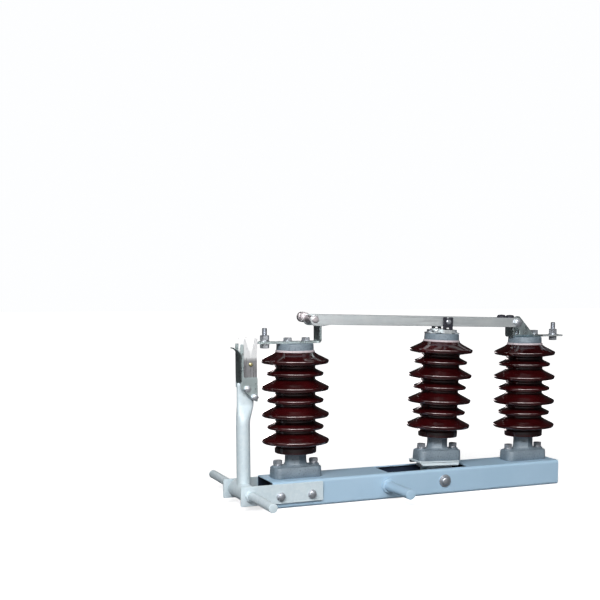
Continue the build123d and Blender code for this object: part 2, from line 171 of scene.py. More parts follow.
def paintFinish(name, look):
    # satin paint: two close tones in wide clouds, fine specks, orange-peel relief
    finish, tree, shader = startFinish(name, 0.0, Coat_Weight=look["coat"], Coat_Roughness=0.25)
    place = stretched(tree, (1.0, 1.0, 1.0))
    clouds = grain(tree, place, look["cloudScale"], 4.0, 0.6)
    specks = grain(tree, place, 700.0, 2.0, 0.7)
    tone = blendColours(tree, spread(tree, clouds, 0.35, 0.68, 0.0, 1.0), look["light"], look["dark"])
    tone = blendColours(tree, spread(tree, specks, 0.62, 0.75, 0.0, 0.5), tone, look["speck"])
    # painted shade: the hollow of the folded base is painted near-black to stand in for the shade in it,
    # where |y| is below insideHalf and z lies between insideLow and insideHigh
    axes = addNode(tree, "ShaderNodeSeparateXYZ", {"Vector": place}).outputs
    across = addNode(tree, "ShaderNodeMath", {0: axes["Y"]}, operation="ABSOLUTE").outputs["Value"]
    insideShadeShare = spread(tree, across, look["insideHalf"] - 0.0002, look["insideHalf"] + 0.0002, 1.0, 0.0)
    for height, low, high in ((look["insideLow"], 0.0, 1.0), (look["insideHigh"], 1.0, 0.0)):
        limit = spread(tree, axes["Z"], height - 0.0002, height + 0.0002, low, high)
        insideShadeShare = addNode(tree, "ShaderNodeMath", {0: insideShadeShare, 1: limit}, operation="MULTIPLY").outputs["Value"]
    tone = blendColours(tree, insideShadeShare, tone, look["inside"])
    tree.links.new(tone, shader.inputs["Base Color"])
    rough = spread(tree, clouds, 0.3, 0.7, look["rough"] - 0.06, look["rough"] + 0.08)
    tree.links.new(rough, shader.inputs["Roughness"])
    peel = relief(tree, grain(tree, place, 420.0, 2.0), look["peel"], 0.0004)
    tree.links.new(relief(tree, grain(tree, place, 38.0, 2.0), 0.12, 0.0012, peel), shader.inputs["Normal"])
    return finish


def castFinish(name, look):
    # painted sand casting: grainy skin, darker in its soft pits
    finish, tree, shader = startFinish(name, 0.0, Coat_Weight=0.15, Coat_Roughness=0.35)
    place = stretched(tree, (1.0, 1.0, 1.0))
    skin = grain(tree, place, 260.0, 5.0, 0.62)
    clouds = grain(tree, place, 30.0, 3.0)
    tone = blendColours(tree, spread(tree, clouds, 0.35, 0.7, 0.0, 1.0), look["light"], look["dark"])
    tone = blendColours(tree, spread(tree, skin, 0.30, 0.48, 0.75, 0.0), tone, look["pit"])
    tree.links.new(tone, shader.inputs["Base Color"])
    rough = spread(tree, skin, 0.3, 0.7, look["rough"] + 0.12, look["rough"] - 0.05)
    tree.links.new(rough, shader.inputs["Roughness"])
    dents = relief(tree, clouds, 0.35, 0.0015)
    tree.links.new(relief(tree, skin, 0.55, 0.0006, dents), shader.inputs["Normal"])
    return finish


def metalFinish(name, look):
    # plated or galvanised metal: patchy crystals, fine scratches along one direction, slight colour shifts
    finish, tree, shader = startFinish(name, look["metallic"])
    place = stretched(tree, (1.0, 1.0, 1.0))
    drawn = stretched(tree, look["drawn"])
    crystals = addNode(tree, "ShaderNodeTexVoronoi",
                       {"Vector": place, "Scale": look["crystal"]}).outputs["Color"]
    shade = addNode(tree, "ShaderNodeRGBToBW", {"Color": crystals}).outputs["Val"]
    clouds = grain(tree, place, 24.0, 4.0, 0.6)
    lines = grain(tree, drawn, 60.0, 3.0, 0.7)
    tone = blendColours(tree, spread(tree, clouds, 0.3, 0.7, 0.0, 1.0), look["light"], look["dark"])
    tone = blendColours(tree, spread(tree, shade, 0.2, 0.8, 0.0, look["spangle"]), tone, look["spark"])
    tone = blendColours(tree, spread(tree, lines, 0.45, 0.75, 0.0, look["lines"]), tone, look["scratch"])
    tree.links.new(tone, shader.inputs["Base Color"])
    rough = spread(tree, lines, 0.3, 0.7, look["rough"] - 0.08, look["rough"] + 0.10)
    tree.links.new(rough, shader.inputs["Roughness"])
    soft = relief(tree, clouds, 0.15, 0.0008)
    tree.links.new(relief(tree, lines, look["relief"], 0.0003, soft), shader.inputs["Normal"])
    return finish


def glazeFinish(name, look):
    # fired glaze: deep brown body under a clear glassy coat, faintly uneven, redder where it lies thin
    finish, tree, shader = startFinish(
        name, 0.0, Coat_Weight=look["coat"], Coat_Roughness=look["coatRough"], Coat_IOR=1.5,
        Specular_IOR_Level=look["specular"])
    place = stretched(tree, (1.0, 1.0, 1.0))
    flow = grain(tree, stretched(tree, (1.0, 1.0, 0.35)), 46.0, 3.0, 0.5)
    clouds = grain(tree, place, 14.0, 4.0, 0.6, 0.4)
    tone = blendColours(tree, spread(tree, clouds, 0.3, 0.7, 0.0, 1.0), look["deep"], look["red"])
    tone = blendColours(tree, spread(tree, flow, 0.55, 0.8, 0.0, 0.5), tone, look["brown"])
    tree.links.new(tone, shader.inputs["Base Color"])
    rough = spread(tree, clouds, 0.3, 0.7, look["rough"] - 0.05, look["rough"] + 0.05)
    tree.links.new(rough, shader.inputs["Roughness"])
    wave = relief(tree, flow, look["wave"], 0.0015)
    tree.links.new(wave, shader.inputs["Normal"])
    tree.links.new(wave, shader.inputs["Coat Normal"])
    return finish


finishes = {
    "channel_paint": paintFinish("bluePaint", {
        "light": (0.42, 0.60, 0.76), "dark": (0.38, 0.56, 0.72), "speck": (0.50, 0.66, 0.79),
        "rough": 0.40, "coat": 0.20, "peel": 0.10, "cloudScale": 7.0,
        # the colour of the channel's hollow is painted shade
        "inside": (0.012, 0.022, 0.050), "insideHalf": 0.0505, "insideLow": 0.0025, "insideHigh": 0.0585}),
    "cast_fitting": castFinish("castPaint", {
        "light": (0.21, 0.27, 0.32), "dark": (0.16, 0.21, 0.255), "pit": (0.085, 0.11, 0.14), "rough": 0.50}),
    "porcelain": glazeFinish("brownGlaze", {
        "deep": (0.013, 0.0010, 0.0014), "red": (0.048, 0.0026, 0.0036), "brown": (0.026, 0.004, 0.003),
        "rough": 0.18, "coat": 1.0, "coatRough": 0.07, "specular": 0.50, "wave": 0.06}),
    "zinc_bolt": metalFinish("brightZinc", {
        "metallic": 0.80, "light": (0.56, 0.59, 0.63), "dark": (0.42, 0.45, 0.50),
        "spark": (0.68, 0.70, 0.74), "scratch": (0.26, 0.29, 0.33), "spangle": 0.25, "lines": 0.35,
        "crystal": 420.0, "drawn": (1.0, 1.0, 6.0), "rough": 0.33, "relief": 0.08}),
    "tinned_copper": metalFinish("tinnedBar", {
        "metallic": 0.75, "light": (0.76, 0.80, 0.81), "dark": (0.65, 0.70, 0.72),
        "spark": (0.83, 0.87, 0.88), "scratch": (0.54, 0.60, 0.62), "spangle": 0.12, "lines": 0.30,
        "crystal": 260.0, "drawn": (0.25, 5.0, 5.0), "rough": 0.36, "relief": 0.06}),
    "galvanised_steel": metalFinish("galvanised", {
        "metallic": 0.12, "light": (0.665, 0.775, 0.83), "dark": (0.62, 0.74, 0.80),
        "spark": (0.82, 0.90, 0.93), "scratch": (0.42, 0.52, 0.57), "spangle": 0.30, "lines": 0.20,
        "crystal": 150.0, "drawn": (1.0, 1.0, 0.4), "rough": 0.42, "relief": 0.10}),
    "dark_chrome": metalFinish("darkChrome", {
        "metallic": 0.70, "light": (0.66, 0.61, 0.63), "dark": (0.50, 0.46, 0.48),
        "spark": (0.76, 0.72, 0.74), "scratch": (0.30, 0.27, 0.29), "spangle": 0.10, "lines": 0.3,
        "crystal": 300.0, "drawn": (1.0, 1.0, 6.0), "rough": 0.34, "relief": 0.05}),
    "black_iron": castFinish("blackIron", {
        "light": (0.010, 0.010, 0.024), "dark": (0.006, 0.006, 0.014), "pit": (0.003, 0.003, 0.005),
        "rough": 0.62}),
    "zinc_plate": metalFinish("zincPlate", {
        "metallic": 0.96, "light": (0.62, 0.72, 0.73), "dark": (0.52, 0.62, 0.63),
        "spark": (0.72, 0.81, 0.82), "scratch": (0.38, 0.47, 0.48), "spangle": 0.15, "lines": 0.25,
        "crystal": 220.0, "drawn": (1.0, 1.0, 0.4), "rough": 0.30, "relief": 0.05}),
    "spring_steel": metalFinish("springSteel", {
        "metallic": 0.80, "light": (0.38, 0.38, 0.39), "dark": (0.31, 0.31, 0.33),
        "spark": (0.45, 0.45, 0.47), "scratch": (0.26, 0.26, 0.28), "spangle": 0.08, "lines": 0.25,
        "crystal": 320.0, "drawn": (4.0, 4.0, 0.3), "rough": 0.30, "relief": 0.03}),
}
# painted highlight: the fingers' tips are painted near-white and made less metallic above this height in
# metres, where their flared tops catch the light
fingerTipHighlight = {"from": 0.327, "to": 0.336, "colour": (0.90, 0.91, 0.92)}
tipTree = finishes["spring_steel"].node_tree
tipShader = tipTree.nodes["Principled BSDF"]
tipPlace = addNode(tipTree, "ShaderNodeTexCoord").outputs["Object"]
tipHeight = addNode(tipTree, "ShaderNodeSeparateXYZ", {"Vector": tipPlace}).outputs["Z"]
tipHighlightShare = spread(tipTree, tipHeight, fingerTipHighlight["from"], fingerTipHighlight["to"], 0.0, 1.0)
bareTone = tipShader.inputs["Base Color"].links[0].from_socket
# the painted highlight is blended over the steel's own tone
tipTree.links.new(blendColours(tipTree, tipHighlightShare, bareTone, fingerTipHighlight["colour"]),
                  tipShader.inputs["Base Color"])
tipTree.links.new(spread(tipTree, tipHighlightShare, 0.0, 1.0, 0.80, 0.15), tipShader.inputs["Metallic"])
finishes["cement"] = castFinish("cementRing", {
    "light": (0.60, 0.53, 0.56), "dark": (0.50, 0.44, 0.47), "pit": (0.34, 0.29, 0.32), "rough": 0.7})
finishes["brass"] = metalFinish("brassRivet", {
    "metallic": 0.9, "light": (0.66, 0.60, 0.30), "dark": (0.50, 0.44, 0.20), "spark": (0.76, 0.70, 0.42),
    "scratch": (0.36, 0.30, 0.16), "spangle": 0.2, "lines": 0.3, "crystal": 400.0, "drawn": (1.0, 1.0, 4.0),
    "rough": 0.30, "relief": 0.1})
slotOf = {row["node"]: row["material_slot"] for row in frame["record"]["subparts"]}
for name, node in nodes.items():
    node.data.materials.clear()
    node.data.materials.append(finishes[slotOf[name]])
print("finishes made:", len(finishes))

# A shape is a pair (points, faces): an array of points in millimetres and a list of face arrays
# with three or four columns.


def gridShape(points, closedAcross=True, capFirst=True, capLast=True, closedAlong=False):
    # points[i, j]: row i, column j; neighbours in the grid make four-sided faces, and a fan closes each end
    rows, columns = points.shape[:2]
    i = np.arange(rows if closedAlong else rows - 1)[:, None]
    j = np.arange(columns if closedAcross else columns - 1)[None, :]
    nextRow, nextColumn = (i + 1) % rows, (j + 1) % columns
    corners = [i * columns + j, i * columns + nextColumn, nextRow * columns + nextColumn,
               nextRow * columns + j]
    faces = [np.stack(np.broadcast_arrays(*corners), -1).reshape(-1, 4)]
    flat = [points.reshape(-1, 3)]
    total = rows * columns
    for wanted, row in ((capFirst, 0), (capLast, rows - 1)):
        if wanted and not closedAlong:
            flat.append(points[row].mean(0, keepdims=True))
            ring = row * columns + np.arange(columns)
            fan = np.stack([ring, np.roll(ring, -1), np.full(columns, total)], -1)
            faces.append(fan if row else fan[:, ::-1])
            total += 1
    return np.concatenate(flat), faces


def together(*shapes):
    points, faces, start = [], [], 0
    for shapePoints, shapeFaces in shapes:
        points.append(shapePoints)
        faces += [part + start for part in shapeFaces]
        start += len(shapePoints)
    return np.concatenate(points), faces


def moved(shape, at=(0.0, 0.0, 0.0), turn=None):
    # turn is a 3x3 array; the shape is turned first and then moved
    points, faces = shape
    if turn is not None:
        points = points @ np.asarray(turn, float).T
    return points + np.asarray(at, float), faces


towardsFront = np.array([[1.0, 0.0, 0.0], [0.0, 0.0, -1.0], [0.0, 1.0, 0.0]])
towardsRear = np.array([[1.0, 0.0, 0.0], [0.0, 0.0, 1.0], [0.0, -1.0, 0.0]])


def softened(corners, radii, steps=5, closed=False):
    # each corner of the line becomes an arc of its radius that touches both neighbours
    corners = [np.asarray(corner, float) for corner in corners]
    count = len(corners)
    radii = [radii] * count if np.isscalar(radii) else list(radii)
    line = []
    for index, corner in enumerate(corners):
        radius = radii[index]
        if radius <= 0 or (not closed and index in (0, count - 1)):
            line.append(corner[None])
            continue
        before, after = corners[index - 1] - corner, corners[(index + 1) % count] - corner
        first, second = before / np.linalg.norm(before), after / np.linalg.norm(after)
        half = 0.5 * math.acos(max(-1.0, min(1.0, float(first @ second))))
        reach = min(radius / math.tan(half), 0.49 * np.linalg.norm(before), 0.49 * np.linalg.norm(after))
        centre = corner + (first + second) / np.linalg.norm(first + second) * reach / math.cos(half)
        start, end = corner + first * reach - centre, corner + second * reach - centre
        angle = math.acos(max(-1.0, min(1.0, float(start @ end) / float(start @ start))))
        t = np.linspace(0.0, 1.0, steps + 1)[:, None]
        if angle < 1e-6:
            line.append(corner[None])
            continue
        line.append(centre + (np.sin((1 - t) * angle) * start + np.sin(t * angle) * end) / math.sin(angle))
    return np.concatenate(line)


def risingRings(radius, angle, heights):
    # radius r at every height h and angle a gives the point (r cos a, r sin a, h)
    return np.stack([
        radius * np.cos(angle), radius * np.sin(angle), np.broadcast_to(heights[:, None], radius.shape)], -1)


def turned(profile, steps=64):
    # radius r and height h along the profile, carried round the axis: (r cos a, r sin a, h)
    radius, height = np.asarray(profile, float).T
    angle = np.arange(steps) * 2 * math.pi / steps
    return gridShape(risingRings(np.broadcast_to(radius[:, None], (len(radius), steps)), angle, height))


def spun(corners, radii, arcSteps, steps, crown=None):
    # a solid of rotation: the profile runs out from the axis, along its corners and back to the axis,
    # to the height of its crown where that is above the last corner
    nearAxis = 0.05
    last = corners[-1][1] if crown is None else crown
    return turned(softened([(nearAxis, corners[0][1]), *corners, (nearAxis, last)], (0, *radii, 0),
                           arcSteps), steps)


def plainRod(radius, half, edge, arcSteps=3, steps=40):
    return spun([(radius, -half), (radius, half)], (edge, edge), arcSteps, steps)


def disc(radius, low, high, edge=0.5, steps=48):
    return spun([(radius, low), (radius, high)], (edge, edge), 3, steps)


def turnedRing(profile, steps=72):
    # a closed section carried round the axis
    radius, height = np.asarray(profile, float).T
    angle = np.arange(steps) * 2 * math.pi / steps
    points = np.stack([
        np.outer(np.cos(angle), radius), np.outer(np.sin(angle), radius),
        np.broadcast_to(height, (steps, len(radius)))], -1)
    return gridShape(points, closedAlong=True)


def acrossPin(shape, x, z, side):
    # a shape drawn along Z is laid along Y, pointing to the front (-1) or the rear (1)
    return moved(shape, (x, 0.0, z), towardsFront if side < 0 else towardsRear)


def oblong(left, right, half):
    return [(left, -half), (right, -half), (right, half), (left, half)]


def centred(halfWide, halfHigh):
    return oblong(-halfWide, halfWide, halfHigh)


def hexHead(across, low, high, chamferLow=False, steps=48):
    # a hexagon's radius is half its width over the cosine of the angle from the flat;
    # a 30 degree cone trims the corners
    angle = np.arange(steps) * 2 * math.pi / steps
    hexagon = 0.5 * across / np.cos(angle % (math.pi / 3) - math.pi / 6)
    face, slope = 0.475 * across, 1.73  # the flat end's radius and the cone's steepness
    trim = (0.5 * across / math.cos(math.pi / 6) - face) / slope
    lowRows = low + trim * np.linspace(0, 1, 4) if chamferLow else [low]
    heights = np.concatenate([[low], lowRows, high - trim * np.linspace(1, 0, 4)])
    cone = face + slope * (high - heights)
    if chamferLow:
        cone = np.minimum(cone, face + slope * (heights - low))
    radius = np.minimum(hexagon[None, :], cone[:, None])
    return gridShape(risingRings(radius, angle, heights))


def threadedRod(radius, low, high, pitch=1.75, depth=0.9, steps=40):
    # the radius rises and falls once a pitch and the pattern turns with the angle; both ends are chamfered
    heights = np.linspace(low, high, max(4, int((high - low) / pitch * 6)) + 1)
    angle = np.arange(steps) * 2 * math.pi / steps
    phase = (heights[:, None] / pitch - angle[None, :] / (2 * math.pi)) % 1.0
    thread = radius - depth * np.abs(2 * phase - 1) ** 1.3
    ends = radius - 1.3 + np.minimum(heights - low, high - heights)
    thread = np.minimum(thread, ends[:, None])
    return gridShape(risingRings(thread, angle, heights))


def springWasher(inner, outer, low, thickness, rise=0.8, steps=60):
    # a rounded oblong section carried once round the axis, climbing by the rise, with a small gap
    section = softened([(inner, 0), (outer, 0), (outer, thickness), (inner, thickness)], 0.3, 2, True)
    angle = np.radians(np.linspace(4, 356, steps))
    climb = rise * np.linspace(0, 1, steps)
    radius = section[None, :, 0]
    height = low + climb[:, None] + section[None, :, 1]
    points = np.stack([radius * np.cos(angle)[:, None], radius * np.sin(angle)[:, None], height], -1)
    return gridShape(points)


def weldBead(radius, size, steps=96, ripples=30):
    # a ring of weld whose section swells and shrinks a little round the joint
    around = np.arange(steps) * 2 * math.pi / steps
    across = np.arange(12) * 2 * math.pi / 12
    swell = size * (1 + 0.12 * np.sin(ripples * around) + 0.10 * np.sin(3 * around + 1))[:, None]
    reach = radius + swell * np.cos(across)[None, :]
    points = np.stack([reach * np.cos(around)[:, None], reach * np.sin(around)[:, None],
                       swell * np.sin(across)[None, :]], -1)
    return gridShape(points, closedAlong=True)


def insideLoop(points, loop):
    # even-odd rule, for all points at once
    x, y = points[:, 0, None], points[:, 1, None]
    (x0, y0), (x1, y1) = loop.T, np.roll(loop, -1, 0).T
    straddle = (y0[None] > y) != (y1[None] > y)
    with np.errstate(divide="ignore", invalid="ignore"):
        cross = x0 + (y - y0) * (x1 - x0) / (y1 - y0)
    return (straddle & (x < cross)).sum(1) % 2 == 1


def fillPoints(loops, spacing):
    # evenly spaced points, all of them kept clear of every edge, so that no triangle is long and thin
    starts = np.concatenate(loops)
    runs = np.concatenate([np.roll(loop, -1, 0) for loop in loops]) - starts
    low, high = starts.min(0), starts.max(0)
    grid = np.stack(np.meshgrid(*[np.arange(low[k] + 0.5 * spacing, high[k], spacing) for k in (0, 1)]),
                    -1).reshape(-1, 2)
    offset = grid[:, None] - starts
    share = np.clip((offset * runs).sum(-1) / (runs ** 2).sum(-1), 0.0, 1.0)
    gap = np.linalg.norm(offset - share[..., None] * runs, axis=-1).min(1)
    return grid[gap > 0.3 * spacing]


def sheetShape(outline, holes, bend, thickness, creases=(), spacing=8.0):
    # a flat outline with holes is cut into triangles, bend puts both of its sides in space,
    # and a wall joins them along every free edge
    loops = [np.asarray(loop, float) for loop in [outline, *holes]]
    flat, edges, start = [*loops], [], 0
    for loop in loops:
        ids = np.arange(start, start + len(loop))
        edges += np.stack([ids, np.roll(ids, -1)], -1).tolist()
        start += len(loop)
    for crease in creases:
        flat.append(np.asarray(crease, float))
        edges.append([start, start + 1])
        start += 2
    flat.append(fillPoints(loops, spacing))
    cut = delaunay_2d_cdt([Vector(point) for point in np.concatenate(flat)], edges, [], 0, 1e-5)
    points, faces = np.array([tuple(v) for v in cut[0]]), np.array(cut[2])
    middle = points[faces].mean(1)
    keep = insideLoop(middle, loops[0])
    for hole in loops[1:]:
        keep &= ~insideLoop(middle, hole)
    faces = faces[keep]
    used, faces = np.unique(faces, return_inverse=True)
    points, faces = points[used], faces.reshape(-1, 3)
    count = len(points)
    directed = np.concatenate([faces[:, [0, 1]], faces[:, [1, 2]], faces[:, [2, 0]]])
    known = set(map(tuple, directed.tolist()))
    free = np.array([edge for edge in known if edge[::-1] not in known])
    wall = np.stack([free[:, 1], free[:, 0], free[:, 0] + count, free[:, 1] + count], -1)
    return np.concatenate([bend(points, 0.0), bend(points, thickness)]), [faces, faces[:, ::-1] + count, wall]


def flatAt(plane, level, direction=1.0):
    # puts a flat outline into space: "xz" stands facing the front, "xy" lies, "yz" faces along the base
    def bend(points, depth):
        away = np.full(len(points), level + direction * depth)
        order = {"xz": (points[:, 0], away, points[:, 1]), "xy": (points[:, 0], points[:, 1], away),
                 "yz": (away, points[:, 0], points[:, 1])}
        return np.stack(order[plane], -1)
    return bend


def loopOfCircle(x, y, radius, steps=40):
    angle = np.arange(steps) * 2 * math.pi / steps
    return np.stack([x + radius * np.cos(angle), y + radius * np.sin(angle)], -1)


def foldLine(start, heading, stretches):
    # the line along a folded sheet: runs have no turn, a bend turns by its degrees over its length
    def along(s):
        place, facing = np.zeros((len(s), 2)), np.zeros(len(s))
        spotNow, angle, done = np.array(start, float), math.radians(heading), 0.0
        for index, (length, turnDegrees) in enumerate(stretches):
            first, final = index == 0, index == len(stretches) - 1
            here = ((s >= done) | first) & ((s < done + length) | final)
            rate = math.radians(turnDegrees) / length

            def step(t):
                if abs(rate) < 1e-12:
                    return np.stack([t * math.cos(angle), t * math.sin(angle)], -1)
                return np.stack([np.sin(angle + rate * t) - math.sin(angle),
                                 math.cos(angle) - np.cos(angle + rate * t)], -1) / rate
            t = s[here] - done
            place[here] = spotNow + step(t)
            facing[here] = angle + rate * t
            spotNow = spotNow + step(np.array([length]))[0]
            angle += rate * length
            done += length
        return place, np.stack([-np.sin(facing), np.cos(facing)], -1)
    return along


def creaseLines(stretches, low, high, steps=7, offset=0.0):
    # lines across the flat pattern wherever the sheet bends
    lines, done = [], offset
    for length, turnDegrees in stretches:
        if turnDegrees:
            lines += [[(low, s), (high, s)] for s in np.linspace(done, done + length, steps)]
        done += length
    return lines


def bmeshOf(mesh):
    # merges doubled points and turns every face outwards
    work = bmesh.new()
    work.from_mesh(mesh)
    bmesh.ops.remove_doubles(work, verts=work.verts, dist=2e-6)
    bmesh.ops.recalc_face_normals(work, faces=work.faces)
    return work


def makePiece(name, shape, finish, body, replaced=None, sharp=32.0, rounding=0.0,
              roundSteps=2):
    # millimetres become metres; the piece gets its finish, and a node that it replaces is hidden
    points, faces = shape
    mesh = bpy.data.meshes.new(name)
    mesh.from_pydata((points * 0.001).tolist(), [], [face for part in faces for face in part.tolist()])
    mesh.validate()
    work = bmeshOf(mesh)
    work.to_mesh(mesh)
    work.free()
    mesh.materials.append(finishes[finish])
    mesh.shade_smooth()
    mesh.set_sharp_from_angle(angle=math.radians(sharp))
    piece = bpy.data.objects.new(name, mesh)
    bpy.context.scene.collection.objects.link(piece)
    if rounding:
        edge = piece.modifiers.new("roundedEdges", "BEVEL")
        edge.width, edge.segments = 0.001 * rounding, roundSteps
        edge.limit_method, edge.angle_limit = "ANGLE", math.radians(40.0)
        edge.use_clamp_overlap = False
        even = piece.modifiers.new("evenShading", "WEIGHTED_NORMAL")
        even.keep_sharp = True
    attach(piece, body)
    if replaced:
        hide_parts(replaced)


# The lifting post stands in its own frame, turned by its lean about the crank pin.
lifting = {"crankX": 56.0, "crankZ": 20.0, "linkX": 70.5, "linkZ": 409.0, "seat": 56.0}
lean = math.atan2(lifting["linkX"] - lifting["crankX"], lifting["linkZ"] - lifting["crankZ"])
linkLength = math.hypot(lifting["linkX"] - lifting["crankX"], lifting["linkZ"] - lifting["crankZ"])
leanTurn = np.array([
    [math.cos(lean), 0.0, math.sin(lean)], [0.0, 1.0, 0.0], [-math.sin(lean), 0.0, math.cos(lean)]])


def leaning(shape):
    return moved(shape, (lifting["crankX"], 0.0, lifting["crankZ"]), leanTurn)


def standing(x, height):
    return lambda shape: moved(shape, (x, 0.0, height))


def liftedPost(shape):
    return leaning(moved(shape, (0.0, 0.0, lifting["seat"])))


# Heights of a post are measured from its seat. A shed's corners are given as steps outwards from the core
# or from its rim, steps up from its tip, and roundings.
post = {
    "largeShed": 76.5, "smallShed": 64.5, "core": 45.2, "pitch": 30.1, "lowestShed": 83.5, "smallRise": 1.5,
    "sheds": 7, "collar": 47.5, "collarLow": 55.5, "top": 286.0, "capRadius": 42.0, "capHigh": 303.0,
    "largeCorners": ((0.0, -10.5, 3.5), (-2.2, -5.4, 3.6), (0.3, 1.6, 3.0), (6.0, 14.4, 12.0),
                     (0.0, 18.5, 4.0)),
    "smallCorners": ((0.0, -7.0, 2.5), (-2.0, -4.2, 2.8), (0.3, 1.6, 2.6), (4.5, 8.6, 7.0), (0.0, 11.5, 3.0)),
}
foot = {
    "length": 114.0, "depth": 56.0, "corner": 16.0, "boltX": 43.0, "boltHole": 6.5, "earRadius": 13.4,
    "earHigh": 28.0,
    "wall": 4.0, "across": 19.0,
}


def porcelainShape(extra):
    # the outline climbs from the collar through seven sheds, each a nose with a short hollow under it
    # and a long slope above it, and every corner is an arc
    low, core, collar = post["collarLow"], post["core"], post["collar"]
    corners, radii = [(collar - 0.6, low), (collar, low + 13.0), (core, low + 16.0)], [2.0, 3.0, 2.0]
    for index in range(post["sheds"]):
        odd = index % 2
        tip = post["lowestShed"] + post["pitch"] * index + odd * post["smallRise"]
        rim = post["smallShed"] if odd else post["largeShed"]
        for place, (out, rise, radius) in enumerate(post["smallCorners"] if odd else post["largeCorners"]):
            if tip + rise < post["top"] - 1:
                corners.append(((rim if place in (1, 2) else core) + out, tip + rise))
                radii.append(radius)
    corners.append((core - 3.0, post["top"]))
    radii.append(1.0)
    return moved(spun(corners, radii, 6, 128), (0.0, 0.0, extra))


def cementShape(extra):
    # the rough ring of cement between the cap and the glaze
    low = post["top"] + extra
    corners = [(38.0, low - 3.0), (44.8, low - 2.6), (43.4, low + 2.2), (38.0, low + 2.6)]
    return turned(softened(corners, (0, 1.2, 1.6, 0), 4), 96)


def capShape(extra):
    low, high, radius = post["top"] + extra + 0.6, post["capHigh"] + extra, post["capRadius"]
    return spun([(radius - 0.2, low), (radius, low + 5), (radius - 0.6, high)], (1.6, 2.0, 2.2), 5, 96)


def footShape(extra):
    # rounded oblong rings rise from the base, draw in at the shoulder and turn into the round neck
    halfSize = np.array([0.5 * foot["length"], 0.5 * foot["depth"]])
    square = softened(halfSize * [(1, -1), (1, 1), (-1, 1), (-1, -1)], foot["corner"], 12, True)
    dense = np.concatenate([square + (np.roll(square, -1, 0) - square) * t for t in (0.0, 0.5)],
                           1).reshape(-1, 2)
    heading = np.arctan2(dense[:, 1], dense[:, 0])
    ring = np.stack([np.cos(heading), np.sin(heading)], -1)
    rows = []
    for inset, height in ((1.2, 0.0), (0.0, 1.2), (0.3, 12.0), (0.9, 22.0), (1.8, 24.0), (3.6, 25.0)):
        rows.append((dense * (1 - inset / halfSize), height))
    edge, neckHigh = rows[-1][0], post["collarLow"] + extra
    # share of the round ring in each row, the row's height, and the ring's radius
    shoulder = ((0.30, 25.5, 30.0), (0.62, 26.2, 29.5), (0.85, 27.2, 28.6), (1.0, 28.6, 27.2),
                (1.0, 30.4, 26.2),
                (1.0, 33.0, 25.2), (1.0, 37.0, 24.6), (1.0, neckHigh - 9, 24.2), (1.0, neckHigh - 4, 24.5),
                (1.0, neckHigh - 0.5, 25.4), (1.0, neckHigh + 1.0, 25.6))
    for share, height, radius in shoulder:
        rows.append((edge * (1 - share) + ring * radius * share, height))
    points = np.stack([np.concatenate([flat, np.full((len(flat), 1), height)], 1) for flat, height in rows])
    ear = spun([(foot["earRadius"], 0.5), (foot["earRadius"] - 0.3, foot["earHigh"])], (1.0, 1.8), 5, 56)
    return together(gridShape(points), *[moved(ear, (x, 0, 0)) for x in (-foot["boltX"], foot["boltX"])])


def footBoltShape():
    # head, washers and shank above the casting, and a nut under the sheet that carries it
    seat, across, under = foot["earHigh"], foot["across"], -foot["wall"]
    bolt = together(
        disc(10.0, seat, seat + 1.7), springWasher(6.3, 9.6, seat + 1.7, 2.2, 0.5),
        hexHead(across, seat + 4.1, seat + 12.0), threadedRod(6.0, under - 12.0, seat + 2.0),
        hexHead(across, under - 9.0, under, True))
    return together(*[moved(bolt, (x, 0, 0)) for x in (-foot["boltX"], foot["boltX"])])


# how much taller than the left post's each porcelain sits, the body, and the place
postX, channelTop = 303.5, 61.0
posts = {
    "left": (0.0, "base", standing(-postX, channelTop)),
    "right": (5.0, "base", standing(postX, channelTop)),
    "middle": (1.5, "lifting_insulator", liftedPost),
}
for side, (extra, body, place) in posts.items():
    makePiece(side + "Porcelain", place(porcelainShape(extra)), "porcelain", body, side + "_insulator",
              sharp=50.0)
    makePiece(side + "Cement", place(cementShape(extra)), "cement", body)
    makePiece(side + "CapCasting", place(capShape(extra)), "cast_fitting", body, side + "_cap", sharp=50.0)
    makePiece(side + "FootCasting", place(footShape(extra)), "cast_fitting", body, side + "_foot", sharp=50.0)
    makePiece(side + "FootBolts", place(footBoltShape()), "zinc_bolt", body, side + "_foot_bolts")
print("posts made")

leftContact = {
    "level": 364.0, "thickness": 5.0, "half": 15.0, "uprightHalf": 19.7, "uprightX": -246.5, "top": 424.0,
    "end": -390.0, "bend": 7.0, "studX": -375.0, "studHole": 6.2,
    "boltX": (-321.2, -278.0), "boltAcross": 17.0, "boltHeight": 8.0,
}


def contactBarShape(look):
    # a strip folded up at its right end; the flat pattern widens where it becomes the upright
    bendLength = 0.5 * math.pi * look["bend"]
    run = look["uprightX"] - look["end"] - look["bend"]
    rise = look["top"] - look["level"] - look["bend"]
    line = foldLine((look["end"], look["level"]), 0, [(run, 0), (bendLength, 90), (rise, 0)])
    total, widen = run + bendLength + rise, run + bendLength + 2
    half, wide = look["half"], look["uprightHalf"]
    corners = [(0, -half), (run - 4, -half), (widen, -wide), (total, -wide)]
    corners += [(s, -y) for s, y in corners[::-1]]
    outline = softened(corners, (3, 4, 4, 2, 2, 4, 4, 3), 4, True)
    hole = loopOfCircle(look["studX"] - look["end"], 0, look["studHole"])

    def bend(points, depth):
        place, normal = line(points[:, 0])
        flat = place + normal * depth
        return np.stack([flat[:, 0], points[:, 1], flat[:, 1]], -1)
    creases = [[(s, -30), (s, 30)] for s in np.linspace(run, run + bendLength, 8)]
    return sheetShape(outline, [hole], bend, look["thickness"], creases)


def capBoltShape(places, low, across, height):
    bolt = together(disc(0.62 * across, 0, 1.2), hexHead(across, 1.2, height))
    return together(*[moved(bolt, (x, 0, low)) for x in places])


